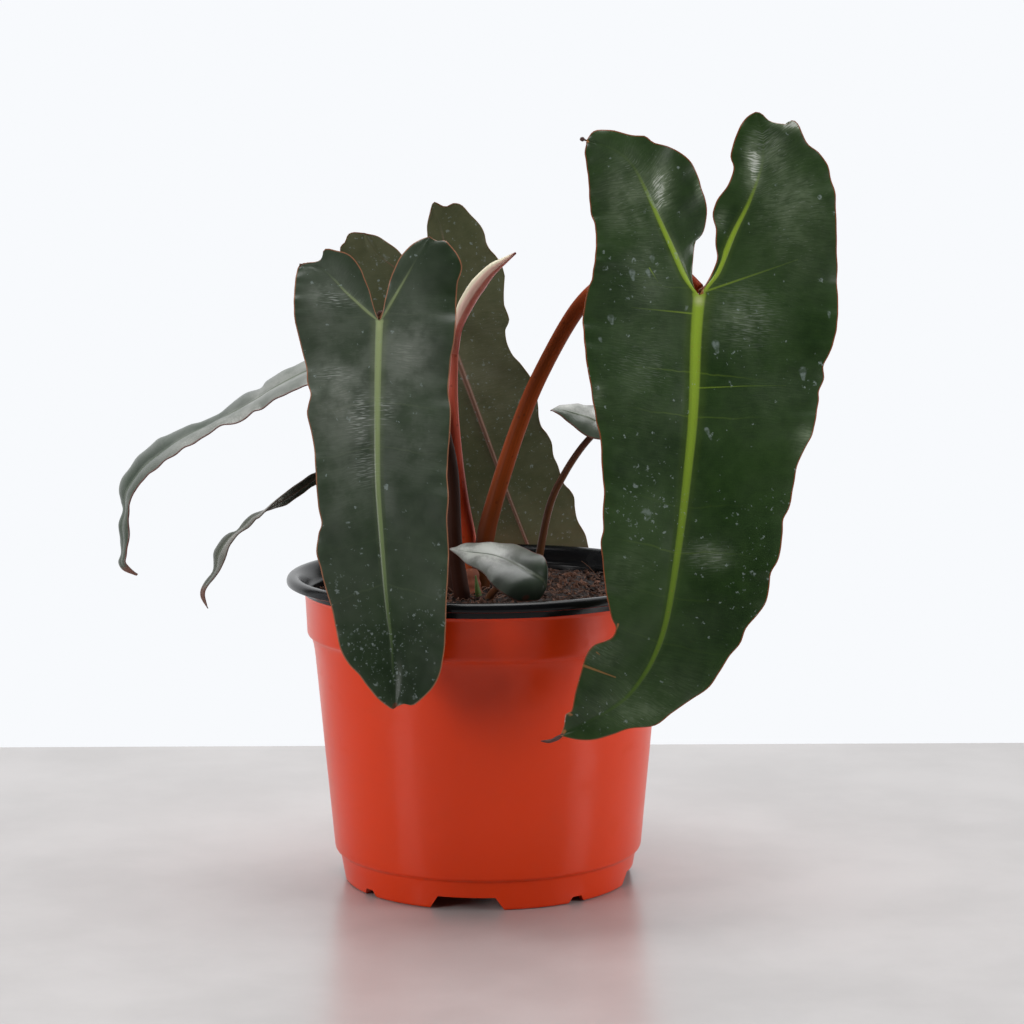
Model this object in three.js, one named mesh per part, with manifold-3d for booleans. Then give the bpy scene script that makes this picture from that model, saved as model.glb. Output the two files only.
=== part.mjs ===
// A young Philodendron billietiae in a 17 cm nursery pot.
// Millimetres, +Z up. Inside the plant's own group the pot's axis is the Z axis and the table is z = 0.
// The group is then shifted so that the middle of the whole plant's footprint is over the origin.
import * as THREE from "three";
import Module from "manifold-3d";
import { mergeVertices } from "three/addons/utils/BufferGeometryUtils.js";

const wasm = await Module();
wasm.setup();

// Driving dimensions
const GAP = 0.35; // between neighbouring pieces
const POT_RIM_RADIUS = 85; // outer edge of the rolled rim
const POT_HEIGHT = 131.5; // table to the crest of the rim
const POT_WALL = 1.2;
const POT_SEGMENTS = 48;
const FOOT_RADIUS = 61.6;
const FLOOR_UNDERSIDE = 6.6; // the floor is raised inside the foot ring
const FLOOR_TOP = 8.0;
const SOIL_LEVEL = 121.5;
const SOIL_RIM_RADIUS = 75; // where the soil meets the wall
const NOTCH_FRONT_AZIMUTH = -8; // degrees from the front, to the right
const NOTCH_SPACING = 45; // wide and narrow notches take turns
const WIDE_NOTCH = { topWidth: 24, tableWidth: 31, height: 5.4 };
const NARROW_NOTCH = { topWidth: 4.5, tableWidth: 8, height: 2.6 };
const DRAIN_HOLE = { distance: 40, radius: 5 };
const BLADE_THICKNESS = 0.8;
const STEM_SIDES = 8;

// Colours and finishes
const finish = (color, roughness) => new THREE.MeshStandardMaterial({ color, roughness, metalness: 0 });
const TERRACOTTA_PLASTIC = finish(0xb8361b, 0.38);
const SOIL = finish(0x2d1a12, 0.95);
const BLADE_GREEN = finish(0x2f4a2b, 0.35);
const PETIOLE_ORANGE = finish(0x96481f, 0.4);
const PETIOLE_RED = finish(0xa83c20, 0.4);
const PETIOLE_BROWN = finish(0x55302a, 0.45);
const SPEAR_PINK = finish(0xe0a890, 0.4);
const SHOOT_GREEN = finish(0x5b7a35, 0.5);

const plant = new THREE.Group();

function addPiece(name, geometry, material) {
  const mesh = new THREE.Mesh(geometry, material);
  mesh.name = name;
  plant.add(mesh);
  return mesh;
}

const radians = THREE.MathUtils.degToRad;
const clamp = THREE.MathUtils.clamp;
const vector = ([x, y, z]) => new THREE.Vector3(x, y, z);

// A closed geometry as a solid that can be cut, and the way back.
function solidOf(geometry) {
  const bare = new THREE.BufferGeometry();
  bare.setAttribute("position", geometry.getAttribute("position"));
  bare.setIndex(geometry.index);
  const merged = mergeVertices(bare, 1e-3);
  const corners = merged.index.array;
  const triangles = [];
  for (let i = 0; i < corners.length; i += 3) {
    const [a, b, c] = corners.slice(i, i + 3);
    if (a !== b && b !== c && c !== a) triangles.push(a, b, c);
  }
  return new wasm.Manifold(
    new wasm.Mesh({
      numProp: 3,
      vertProperties: merged.attributes.position.array,
      triVerts: new Uint32Array(triangles),
    }),
  );
}

function geometryOf(solid) {
  const mesh = solid.getMesh();
  const geometry = new THREE.BufferGeometry();
  geometry.setAttribute("position", new THREE.BufferAttribute(mesh.vertProperties, 3));
  geometry.setIndex(new THREE.BufferAttribute(mesh.triVerts, 1));
  geometry.computeVertexNormals();
  return geometry;
}

function geometryFrom(points, triangles) {
  const geometry = new THREE.BufferGeometry();
  geometry.setAttribute("position", new THREE.Float32BufferAttribute(points.flat(), 3));
  geometry.setIndex(triangles);
  geometry.computeVertexNormals();
  return geometry;
}

// A profile of [radius, height] pairs turned round the Z axis.
function turned(profile, segments) {
  const points = profile.map(([r, z]) => new THREE.Vector2(r, z));
  return new THREE.LatheGeometry(points, segments).rotateX(Math.PI / 2);
}

// Nursery pot
function potProfile() {
  const foot = [
    [0, FLOOR_UNDERSIDE],
    [FOOT_RADIUS - 3.2, FLOOR_UNDERSIDE],
    [FOOT_RADIUS - 2.4, 0],
    [FOOT_RADIUS, 0],
    [63.6, 11.4],
    [64.3, 12.7],
    [65.6, 13.6],
    [65.9, 14.8],
  ];
  const outerWall = [
    [73.3, 97],
    [74.2, 102.6],
    [76.2, 107],
    [76.6, 108.4],
    [77.4, 123.6],
    [78.2, 124.3],
    [78.4, 126.6],
  ];
  const rim = [
    [84.2, 126.6],
    [POT_RIM_RADIUS, 127.4],
    [84.8, 128.6],
    [82.8, 130.3],
    [80.8, 131.2],
    [79.3, POT_HEIGHT],
    [78.2, 131],
    [77.5, 129.4],
  ];
  const innerWall = [
    [77, 125],
    [75.9, 124.4],
    [75.4, 108],
    [73.3 - POT_WALL, 98],
    [65.9 - POT_WALL, 15],
    [63.4 - POT_WALL, 12.4],
    [FOOT_RADIUS - 0.6, FLOOR_TOP],
    [0, FLOOR_TOP],
  ];
  return [...foot, ...outerWall, ...rim, ...innerWall];
}

// A notch through the foot ring, narrower at the top than on the table.
function footNotch(azimuth, { topWidth, tableWidth, height }) {
  const below = 2;
  const slope = (tableWidth - topWidth) / 2 / height;
  const half = tableWidth / 2 + slope * below;
  const shape = new THREE.Shape([
    new THREE.Vector2(-half, -below),
    new THREE.Vector2(half, -below),
    new THREE.Vector2(topWidth / 2, height),
    new THREE.Vector2(-topWidth / 2, height),
  ]);
  const inside = FOOT_RADIUS - 10; // the cut starts well inside the ring
  const block = new THREE.ExtrudeGeometry(shape, { depth: 16, bevelEnabled: false, steps: 1 });
  block.rotateX(Math.PI / 2);
  block.translate(0, -inside, 0);
  block.rotateZ(radians(azimuth));
  return solidOf(block);
}

function drainHole(angle, { distance, radius }) {
  const [low, high] = [FLOOR_UNDERSIDE - 2, FLOOR_TOP + 2];
  const bore = turned([[0, low], [radius, low], [radius, high], [0, high]], 12);
  bore.translate(distance * Math.cos(angle), distance * Math.sin(angle), 0);
  return solidOf(bore);
}

function nurseryPot() {
  let pot = solidOf(turned(potProfile(), POT_SEGMENTS));
  for (let i = 0; i < 8; i += 1) {
    const azimuth = NOTCH_FRONT_AZIMUTH + i * NOTCH_SPACING;
    const wide = i % 2 === 0;
    pot = pot.subtract(footNotch(azimuth, wide ? WIDE_NOTCH : NARROW_NOTCH));
    pot = pot.subtract(drainHole(radians(azimuth), DRAIN_HOLE));
  }
  return geometryOf(pot);
}
addPiece("nursery_pot", nurseryPot(), TERRACOTTA_PLASTIC);

// A round limb along a route, its radius following a list from root to end, with domed ends.
function limb(route, radii, steps, sides = STEM_SIDES, grow = 0) {
  const curve = new THREE.CatmullRomCurve3(route.map(vector), false, "catmullrom", 0.5);
  const frames = curve.computeFrenetFrames(steps, false);
  const points = [];
  const triangles = [];
  const radiusAt = (t) => {
    const x = clamp(t, 0, 1) * (radii.length - 1);
    const i = Math.min(Math.floor(x), radii.length - 2);
    return THREE.MathUtils.lerp(radii[i], radii[i + 1], x - i) + grow;
  };
  const ring = (centre, i, radius) => {
    for (let j = 0; j < sides; j += 1) {
      const angle = (2 * Math.PI * j) / sides;
      const p = centre
        .clone()
        .addScaledVector(frames.normals[i], radius * Math.cos(angle))
        .addScaledVector(frames.binormals[i], radius * Math.sin(angle));
      points.push([p.x, p.y, p.z]);
    }
  };
  const dome = 0.5; // the end rings' share of the radius, set out by as much again
  const place = (t, i, sign, share) => {
    const reach = share * radiusAt(t) + (1 - share) * grow;
    return curve.getPointAt(t).addScaledVector(frames.tangents[i], sign * reach);
  };
  const rootTip = place(0, 0, -1, dome);
  const endTip = place(1, steps, 1, dome);
  points.push([rootTip.x, rootTip.y, rootTip.z]);
  ring(place(0, 0, -1, dome * 0.7), 0, radiusAt(0) * 0.65);
  for (let i = 0; i <= steps; i += 1) ring(curve.getPointAt(i / steps), i, radiusAt(i / steps));
  ring(place(1, steps, 1, dome * 0.7), steps, radiusAt(1) * 0.65);
  points.push([endTip.x, endTip.y, endTip.z]);
  const rings = steps + 3;
  const last = points.length - 1;
  for (let j = 0; j < sides; j += 1) {
    const next = (j + 1) % sides;
    triangles.push(0, 1 + next, 1 + j);
    for (let i = 0; i < rings - 1; i += 1) {
      const a = 1 + i * sides;
      const b = a + sides;
      triangles.push(a + j, a + next, b + next, a + j, b + next, b + j);
    }
    const top = 1 + (rings - 1) * sides;
    triangles.push(last, top + j, top + next);
  }
  return geometryFrom(points, triangles);
}

// Petioles and other round pieces: each route runs from its root in the soil to its end under a blade.
const STEMS = {
  petiole_large_right: {
    route: [
      [-4, 12, 98], [-3, 13, 121], [-1, 13, 142], [4, 12, 162], [14, 8, 193], [24, 3, 217],
      [39, -7, 244], [53, -14, 257], [68, -23, 262], [80, -31, 260], [87.6, -37.6, 253.3],
    ],
    radii: [4.2, 4.1, 3.9, 3.7, 3.6, 3.5, 3.4, 3.4, 3.2, 2.8, 2.4],
    steps: 22,
    material: PETIOLE_ORANGE,
  },
  petiole_front_left: {
    route: [
      [-8, -11, 98], [-10, -16, 121], [-13, -20, 146], [-14, -26, 177], [-18, -31, 197],
      [-25, -36, 217], [-33, -40, 234], [-39, -41.5, 243], [-42.6, -43, 243.8],
    ],
    radii: [3.6, 3.5, 3.2, 3, 2.9, 2.8, 2.6, 2.3, 1.9],
    steps: 16,
    material: PETIOLE_BROWN,
  },
  petiole_back: {
    route: [
      [-10, 31, 98], [-10, 33, 121], [-11, 37, 149], [-15, 42, 175], [-19, 49, 201],
      [-21.5, 55, 226], [-23, 58.8, 241.3],
    ],
    radii: [3.2, 3.1, 2.9, 2.7, 2.5, 2.3, 2.2],
    steps: 16,
    material: PETIOLE_BROWN,
  },
  petiole_new: {
    route: [
      [-6, 22, 98], [-6.5, 22, 121], [-8, 21, 142], [-11, 18, 161], [-13, 14, 182],
      [-14, 10, 204], [-13, 6.5, 225],
    ],
    radii: [3.9, 3.8, 3.5, 3.2, 2.6, 2.1, 1.4],
    steps: 16,
    material: PETIOLE_RED,
  },
  petiole_small_right: {
    route: [
      [18, 28, 100], [21, 28, 121], [23, 27, 136], [27.5, 26, 157], [33.5, 25, 170],
      [40.5, 24, 181], [47.5, 23.5, 189], [54, 23.5, 194.5], [58.9, 23.3, 197.7],
    ],
    radii: [2, 1.9, 1.8, 1.7, 1.7, 1.6, 1.5, 1.4, 1.3],
    steps: 14,
    material: PETIOLE_BROWN,
  },
  petiole_small_front: {
    route: [
      [1, -12, 104], [1, -15, 121], [5, -27, 129], [12, -42, 134.5], [18, -54, 140.5],
      [20, -58.1, 143.2],
    ],
    radii: [1.8, 1.7, 1.6, 1.5, 1.4, 1.2],
    steps: 14,
    material: PETIOLE_BROWN,
  },
  petiole_upper_left: {
    route: [[-15, 11, 98], [-14, 10, 121], [-14, 7, 153], [-21, 5, 187], [-28, 4, 213], [-34.2, 4, 227.9]],
    radii: [3, 2.9, 2.7, 2.5, 2.3, 2.1],
    steps: 14,
    material: PETIOLE_BROWN,
  },
  petiole_lower_left: {
    route: [[-19, 1, 100], [-20, 0, 121], [-24, -2, 146], [-33, -4, 166], [-42, -5, 177], [-46.5, -5, 180]],
    radii: [2.2, 2.1, 2, 1.9, 1.8, 1.6],
    steps: 14,
    material: PETIOLE_BROWN,
  },
  stem_base: {
    route: [[-4, -2, 94], [-5.5, 0, 112], [-6.5, 1.5, 126], [-6.8, 2, 131]],
    radii: [5.4, 5.2, 4.6, 3.2],
    steps: 6,
    material: PETIOLE_BROWN,
  },
  side_shoot: {
    route: [[-3, -8, 110], [-3, -8.5, 120], [-4, -8.5, 126], [-4.6, -8, 131]],
    radii: [1.6, 1.6, 1.3, 0.3],
    steps: 6,
    material: SHOOT_GREEN,
  },
};
for (const [name, stem] of Object.entries(STEMS)) {
  addPiece(name, limb(stem.route, stem.radii, stem.steps), stem.material);
}

// The rolled new leaf above its petiole
const SPEAR_ROUTE = [
  [-12.9, 6.2, 226.8], [-11, 4, 239], [-6, 2, 250], [1, 0, 260], [7.5, -0.6, 264.5],
  [13, -1, 267],
];
addPiece("leaf_new_spear", limb(SPEAR_ROUTE, [1.4, 2.2, 2.8, 2.6, 1.6, 0.3], 16), SPEAR_PINK);

// Soil, level with uneven crumbs, with a plain hole for each stem
function soilRelief(x, y) {
  const swell = 0.9 * Math.sin(x / 17 + 0.6) * Math.cos(y / 21 - 0.4);
  const clods = 0.7 * Math.sin(x / 5.3 + y / 9.1) * Math.sin(y / 4.7 - x / 11.3);
  return swell + clods;
}

function pottingSoil() {
  const wall = [
    [0, FLOOR_TOP + GAP],
    [FOOT_RADIUS - 1.2, FLOOR_TOP + GAP],
    [63.4 - POT_WALL - GAP, 12.6],
    [65.9 - POT_WALL - GAP, 15.2],
    [73.3 - POT_WALL - GAP, 98],
    [75.2 - GAP, 108],
    [SOIL_RIM_RADIUS, SOIL_LEVEL],
  ];
  const rings = 7;
  const top = [];
  for (let i = 1; i <= rings; i += 1) top.push([SOIL_RIM_RADIUS * (1 - i / rings), SOIL_LEVEL]);
  const body = turned([...wall, ...top], POT_SEGMENTS);
  const spots = body.getAttribute("position");
  for (let i = 0; i < spots.count; i += 1) {
    const [x, y, z] = [spots.getX(i), spots.getY(i), spots.getZ(i)];
    const inside = SOIL_RIM_RADIUS - Math.hypot(x, y);
    if (z > SOIL_LEVEL - 0.01 && inside > 1) spots.setZ(i, z + soilRelief(x, y));
  }
  let soil = solidOf(body);
  for (const stem of Object.values(STEMS)) {
    soil = soil.subtract(solidOf(limb(stem.route, stem.radii, stem.steps, STEM_SIDES, GAP)));
  }
  return geometryOf(soil);
}
addPiece("potting_soil", pottingSoil(), SOIL);

// Leaf blades
// A blade is drawn flat as [across, along] pairs from the sinus, where the petiole joins: along runs to the
// tip, and the lobes have negative values. Across is to the right of a viewer who faces the upper side with
// the tip down. The flat shape is laid on a ribbon: a route in space that passes the sinus, with the way its
// upper side faces given at each of the route's points.

// A smooth line through flat points, read by its share of the length.
function flatLine(points) {
  const curve = new THREE.SplineCurve(points.map(([across, along]) => new THREE.Vector2(across, along)));
  curve.arcLengthDivisions = 12 * points.length;
  return (share) => curve.getPointAt(clamp(share, 0, 1));
}

function ribbonOf({ route, faces, sinusIndex }) {
  const centre = new THREE.CatmullRomCurve3(route.map(vector), false, "catmullrom", 0.5);
  const facing = new THREE.CatmullRomCurve3(faces.map(vector), false, "catmullrom", 0.5);
  const divisions = 40 * (route.length - 1);
  const lengths = centre.getLengths(divisions);
  const total = lengths[divisions];
  const before = lengths[40 * sinusIndex];
  return (along) => {
    const distance = along + before;
    const share = clamp(distance / total, 0.004, 0.996);
    const tangent = centre.getTangentAt(share);
    const point = centre.getPointAt(share).addScaledVector(tangent, distance - share * total);
    const across = facing.getPoint(centre.getUtoTmapping(share)).cross(tangent).normalize();
    const normal = tangent.clone().cross(across);
    return { point, across, normal };
  };
}

// Builds one blade. Each half has an outer strip, from the lobe vein and midrib to the margin, and an inner
// strip, from the lobe vein to the edge of the sinus.
const COLUMNS = [0, 0.1, 0.4, 0.72, 1];
const INNER_COLUMNS = [0, 0.55, 1];

function blade(leaf) {
  const ribbon = ribbonOf(leaf);
  const midrib = flatLine(leaf.midrib);
  const [lobeRows, bladeRows] = leaf.rows;
  const points = [];
  const places = new Map();
  const tangentOfFold = Math.tan(radians(leaf.fold));

  const midribAcross = (along) => {
    const line = leaf.midrib;
    if (along <= 0) return 0;
    let i = 1;
    while (i < line.length - 1 && line[i][1] < along) i += 1;
    const [a, b] = [line[i - 1], line[i]];
    return THREE.MathUtils.mapLinear(Math.min(along, b[1]), a[1], b[1], a[0], b[0]);
  };

  // Height of the upper side over the ribbon: a shallow fold at the midrib, drooping halves, a waved margin.
  const heightAt = (across, along, side) => {
    const d = Math.abs(across - midribAcross(along));
    const swing = Math.sin((2 * Math.PI * along) / leaf.wave.length + (side > 0 ? 0 : leaf.wave.shift));
    const reach = Math.min(d / leaf.halfWidth, 1.2);
    return d * tangentOfFold - leaf.droop * d * d + leaf.wave.height * reach * reach * swing;
  };

  // Adds the vertex pair, upper and lower, of one flat place and gives their numbers.
  const vertexAt = (flat, side, rib) => {
    const key = `${flat.x.toFixed(3)},${flat.y.toFixed(3)}`;
    if (places.has(key)) return places.get(key);
    const { point, across, normal } = ribbon(flat.y);
    point.addScaledVector(across, flat.x).addScaledVector(normal, heightAt(flat.x, flat.y, side));
    const under = point.clone().addScaledVector(normal, -(BLADE_THICKNESS + rib));
    points.push([point.x, point.y, point.z], [under.x, under.y, under.z]);
    places.set(key, points.length - 2);
    return points.length - 2;
  };

  const triangles = [];
  const edges = new Map();
  const triangle = (a, b, c) => {
    if (a === b || b === c || c === a) return;
    triangles.push(a, b, c, a + 1, c + 1, b + 1);
    for (const [from, to] of [[a, b], [b, c], [c, a]]) {
      if (!edges.delete(`${to},${from}`)) edges.set(`${from},${to}`, [from, to]);
    }
  };
  const strip = (grid, side) => {
    for (let i = 0; i < grid.length - 1; i += 1) {
      for (let j = 0; j < grid[i].length - 1; j += 1) {
        const [a, b, c, d] = [grid[i][j], grid[i][j + 1], grid[i + 1][j + 1], grid[i + 1][j]];
        if (side > 0) {
          triangle(a, d, c);
          triangle(a, c, b);
        } else {
          triangle(a, c, d);
          triangle(a, b, c);
        }
      }
    }
  };

  for (const [side, half] of [[-1, leaf.left], [1, leaf.right]]) {
    const vein = flatLine([...half.vein].reverse());
    const lobeMargin = flatLine(half.lobe);
    const margin = flatLine(half.margin);
    const sinusEdge = flatLine([...half.sinus].reverse());
    const outer = [];
    const inner = [];
    const row = (from, to, columns, rib) =>
      columns.map((f, j) => vertexAt(from.clone().lerp(to, f), side, j === 0 ? rib : 0));
    for (let i = 0; i <= lobeRows; i += 1) {
      const share = i / lobeRows;
      outer.push(row(vein(share), lobeMargin(share), COLUMNS, leaf.rib * 0.6 * share));
      inner.push(row(vein(share), sinusEdge(share), INNER_COLUMNS, leaf.rib * 0.6 * share));
    }
    for (let i = 1; i <= bladeRows; i += 1) {
      const share = i / bladeRows;
      outer.push(row(midrib(share), margin(share), COLUMNS, leaf.rib * (1 - 0.8 * share)));
    }
    strip(outer, side);
    strip(inner, -side);
  }
  for (const [from, to] of edges.values()) {
    triangles.push(from, from + 1, to + 1, from, to + 1, to);
  }
  return geometryFrom(points, triangles);
}

const mirrored = (line) => line.map(([across, along]) => [-across, along]);
const mirroredHalf = (half) =>
  Object.fromEntries(Object.entries(half).map(([name, line]) => [name, mirrored(line)]));

// One half of a plain strap-shaped blade with an ear at its base, from its main sizes.
function strapHalf(length, halfWidth, ear) {
  const at = (share, reach) => [halfWidth * share, reach];
  return {
    sinus: [[0, 0], at(0.12, -0.45 * ear), at(0.28, -0.85 * ear), at(0.52, -ear)],
    vein: [[0, 0], at(0.3, -0.4 * ear), at(0.52, -ear)],
    lobe: [at(0.52, -ear), at(0.8, -0.85 * ear), at(0.97, -0.4 * ear), at(1, 0)],
    margin: [
      at(1, 0),
      at(0.97, 0.2 * length),
      at(0.9, 0.42 * length),
      at(0.77, 0.64 * length),
      at(0.55, 0.83 * length),
      at(0.27, 0.95 * length),
      [0, length],
    ],
  };
}

const smallRight = {
  sinus: [[0, 0], [2, -5], [4.5, -9], [8, -11]],
  vein: [[0, 0], [5, -4], [8, -11]],
  lobe: [[8, -11], [13, -9], [15.5, -4], [16, 1]],
  margin: [[16, 1], [15, 7], [12, 14], [8, 21], [4, 28], [1.5, 31.5], [0, 33]],
};
const upperLeft = strapHalf(177, 19, 24);
const lowerLeft = strapHalf(105, 12, 15);

const BLADES = {
  blade_large_right: {
    material: BLADE_GREEN,
    route: [[94, -18, 332], [89, -42, 252], [84, -64, 202], [78, -82, 149], [72, -93, 77]],
    faces: [[0.2, -1, 0.25], [0.2, -1, 0.3], [0.17, -1, 0.3], [0.12, -1, 0.25], [0.05, -1, 0.15]],
    sinusIndex: 1,
    rows: [10, 24],
    halfWidth: 50,
    fold: 9,
    droop: 0.0012,
    rib: 2,
    wave: { height: 1.6, length: 47, shift: 2.2 },
    midrib: [
      [0, 0], [-1, 24], [-1, 50], [-1, 88], [-3, 124], [-6, 144], [-11, 156], [-20, 168],
      [-31, 176], [-44, 187],
    ],
    left: {
      sinus: [
        [0, 0], [-4, -5], [-5, -16], [-1, -26], [0, -35], [-3, -47], [-9, -56], [-17, -60],
        [-27, -63], [-39, -63], [-47, -63], [-53, -59],
      ],
      vein: [[0, 0], [-12, -13], [-24, -34], [-36, -52], [-53, -59]],
      lobe: [[-53, -59], [-54, -51], [-50, -35], [-47, -20], [-48, 0]],
      margin: [
        [-48, 0], [-49, 21], [-46, 42], [-40, 60], [-36, 75], [-34, 93], [-32, 112],
        [-28, 132], [-24, 139], [-28, 146], [-35, 151], [-38, 162], [-39, 175], [-44, 187],
      ],
    },
    right: {
      sinus: [[0, 0], [4, -7], [5, -15], [3, -30], [4, -40], [9, -53], [9, -65], [13, -74], [19, -79]],
      vein: [[0, 0], [6, -12], [14, -35], [22, -60], [19, -79]],
      lobe: [[19, -79], [27, -75], [36, -75], [43, -66], [51, -55], [53, -39], [55, -15], [55, 5]],
      margin: [
        [55, 5], [51, 25], [50, 42], [45, 60], [43, 73], [39, 91], [38, 105], [36, 121],
        [30, 133], [27, 141], [20, 152], [8, 166], [-5, 177], [-20, 183], [-37, 186],
        [-44, 187],
      ],
    },
  },
  blade_front_left: {
    material: BLADE_GREEN,
    route: [[-40, -35, 276], [-43, -47, 243], [-43, -67, 191], [-41, -83, 141], [-37, -91, 90]],
    faces: [[-0.05, -1, 0.25], [-0.05, -1, 0.3], [-0.05, -1, 0.3], [-0.08, -1, 0.2], [-0.1, -1, 0.1]],
    sinusIndex: 1,
    rows: [8, 20],
    halfWidth: 30,
    fold: 8,
    droop: 0.0015,
    rib: 1.6,
    wave: { height: 1.3, length: 36, shift: 2 },
    midrib: [[0, 0], [0, 35], [0, 68], [0, 100], [2, 132], [2, 160]],
    left: {
      sinus: [[0, 0], [-4, -6], [-8, -15], [-11, -22], [-18, -27], [-24, -26], [-29, -21], [-35, -16]],
      vein: [[0, 0], [-11, -8], [-18, -13], [-27, -17], [-35, -16]],
      lobe: [[-35, -16], [-35, -3], [-34, 5]],
      margin: [
        [-34, 5], [-29, 23], [-27, 34], [-28, 41], [-26, 56], [-24, 78], [-25, 93],
        [-23, 110], [-17, 137], [-11, 147], [-5, 156], [2, 160],
      ],
    },
    right: {
      sinus: [[0, 0], [3, -6], [4, -18], [9, -29], [13, -34], [19, -35], [26, -34]],
      vein: [[0, 0], [7, -10], [11, -21], [17, -30], [26, -34]],
      lobe: [[26, -34], [30, -30], [32, -24], [31, -10], [31, 4]],
      margin: [
        [31, 4], [30, 22], [28, 33], [30, 49], [28, 65], [28, 90], [27, 114], [25, 132],
        [22, 145], [16, 154], [8, 159], [2, 160],
      ],
    },
  },
  blade_back: {
    material: BLADE_GREEN,
    route: [[-39, 48, 288], [-23, 62, 244], [-6, 80, 193], [16, 95, 138], [46, 104, 55]],
    faces: [[0, 1, 0.3], [0, 1, 0.35], [0, 1, 0.3], [0.05, 1, 0.2], [0.1, 1, 0.1]],
    sinusIndex: 1,
    rows: [8, 20],
    halfWidth: 28,
    fold: 6,
    droop: 0.001,
    rib: 1.6,
    wave: { height: 1.3, length: 31, shift: 1.7 },
    midrib: [[0, 0], [-1, 33], [-1, 62], [1, 103], [1, 140], [0, 198]],
    left: {
      sinus: [[0, 0], [-4, -8], [-5, -18], [-7, -29], [-11, -38], [-16, -42]],
      vein: [[0, 0], [-9, -12], [-15, -26], [-16, -42]],
      lobe: [[-16, -42], [-22, -38], [-28, -31], [-32, -22], [-33, -9], [-32, 3]],
      margin: [
        [-32, 3], [-28, 12], [-27, 20], [-24, 28], [-24, 36], [-29, 50], [-26, 62],
        [-25, 75], [-25, 90], [-24, 106], [-26, 115], [-24, 125], [-23, 150], [-19, 170],
        [-12, 187], [0, 198],
      ],
    },
    right: {
      sinus: [[0, 0], [3, -8], [4, -18], [8, -29], [14, -37], [20, -40]],
      vein: [[0, 0], [7, -12], [13, -24], [20, -40]],
      lobe: [[20, -40], [27, -39], [32, -34], [34, -20], [33, 0]],
      margin: [
        [33, 0], [30, 14], [31, 28], [28, 45], [29, 62], [27, 80], [27, 100], [25, 118],
        [25, 135], [22, 155], [17, 173], [10, 188], [0, 198],
      ],
    },
  },
  blade_upper_left: {
    material: BLADE_GREEN,
    route: [
      [-19, 2, 238], [-35, 4, 231], [-77, 8, 215], [-99, 10, 202.5], [-121, 12, 192.5],
      [-142.5, 12, 180.5], [-153, 10, 169], [-156.5, 8, 157], [-156, 6, 145],
      [-155, 5, 135], [-149.5, 5, 130],
    ],
    faces: [
      [-0.3, -0.17, 1], [-0.3, -0.17, 1], [-0.4, -0.18, 1], [-0.5, -0.18, 1],
      [-0.5, -0.2, 1], [-0.7, -0.24, 0.8], [-1, -0.28, 0.3], [-1, -0.3, 0], [-1, -0.3, 0],
      [-1, -0.3, -0.3], [-0.8, -0.3, -0.8],
    ],
    sinusIndex: 1,
    rows: [5, 22],
    halfWidth: 19,
    fold: 4,
    droop: 0,
    rib: 1.4,
    wave: { height: 1.5, length: 41, shift: 2.4 },
    midrib: [[0, 0], [0, 60], [0, 120], [0, 177]],
    left: mirroredHalf(upperLeft),
    right: upperLeft,
  },
  blade_lower_left: {
    material: BLADE_GREEN,
    route: [
      [-37, -3, 186], [-48, -5, 182.5], [-73, -8, 171.5], [-87, -9, 162.5], [-99, -10, 156],
      [-107, -11, 148.5], [-112.5, -12, 138], [-118, -12, 128], [-119.5, -12, 123],
      [-118, -12, 118],
    ],
    faces: [
      [-0.3, 0.3, 1], [-0.3, 0.3, 1], [-0.4, 0.3, 1], [-0.5, 0.22, 1], [-0.6, 0.05, 1],
      [-0.9, -0.2, 0.7], [-1, -0.28, 0.4], [-1, -0.3, 0.3], [-1, -0.3, 0], [-1, -0.3, -0.4],
    ],
    sinusIndex: 1,
    rows: [4, 17],
    halfWidth: 12,
    fold: 5,
    droop: 0,
    rib: 1,
    wave: { height: 1.2, length: 27, shift: 2.4 },
    midrib: [[0, 0], [0, 40], [0, 75], [0, 105]],
    left: mirroredHalf(lowerLeft),
    right: lowerLeft,
  },
  blade_small_right: {
    material: BLADE_GREEN,
    route: [[71, 22, 199], [60, 22, 200.5], [49, 22, 200], [38, 21, 199.5], [27, 20, 199]],
    faces: [[0, -0.5, 0.87], [0, -0.5, 0.87], [0, -0.5, 0.87], [0, -0.45, 0.9], [0, -0.3, 0.95]],
    sinusIndex: 1,
    rows: [3, 9],
    halfWidth: 16,
    fold: -28,
    droop: 0,
    rib: 0.8,
    wave: { height: 1.2, length: 19, shift: 2 },
    midrib: [[0, 0], [0, 11], [0, 22], [0, 33]],
    left: mirroredHalf(smallRight),
    right: smallRight,
  },
  blade_small_front: {
    material: BLADE_GREEN,
    route: [[27.5, -62, 143.5], [20, -60, 145.4], [9, -54, 146.6], [-2, -46, 147], [-15, -36, 147]],
    faces: [[0.3, -0.7, 0.7], [0.3, -0.7, 0.7], [0.2, -0.65, 0.75], [0.1, -0.6, 0.8], [0, -0.5, 0.87]],
    sinusIndex: 1,
    rows: [3, 10],
    halfWidth: 15,
    fold: -6,
    droop: 0.012,
    rib: 0.8,
    wave: { height: 0.9, length: 22, shift: 1 },
    midrib: [[0, 0], [0, 14], [0, 28], [0, 41]],
    left: {
      sinus: [[0, 0], [-1.5, -2.5], [-3.5, -4.5], [-6, -5]],
      vein: [[0, 0], [-4, -2], [-6, -5]],
      lobe: [[-6, -5], [-9, -4.5], [-12, -2], [-12.5, 2]],
      margin: [[-12.5, 2], [-12, 12], [-9, 24], [-5, 34], [-2, 39], [0, 41]],
    },
    right: {
      sinus: [[0, 0], [1.5, -3], [4, -5.5], [8, -6.5]],
      vein: [[0, 0], [5, -2.5], [8, -6.5]],
      lobe: [[8, -6.5], [13, -6], [16.5, -3], [18, 3]],
      margin: [[18, 3], [18.5, 10], [15, 17], [9.5, 23], [5.5, 30], [2.5, 37], [0, 41]],
    },
  },
};
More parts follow.
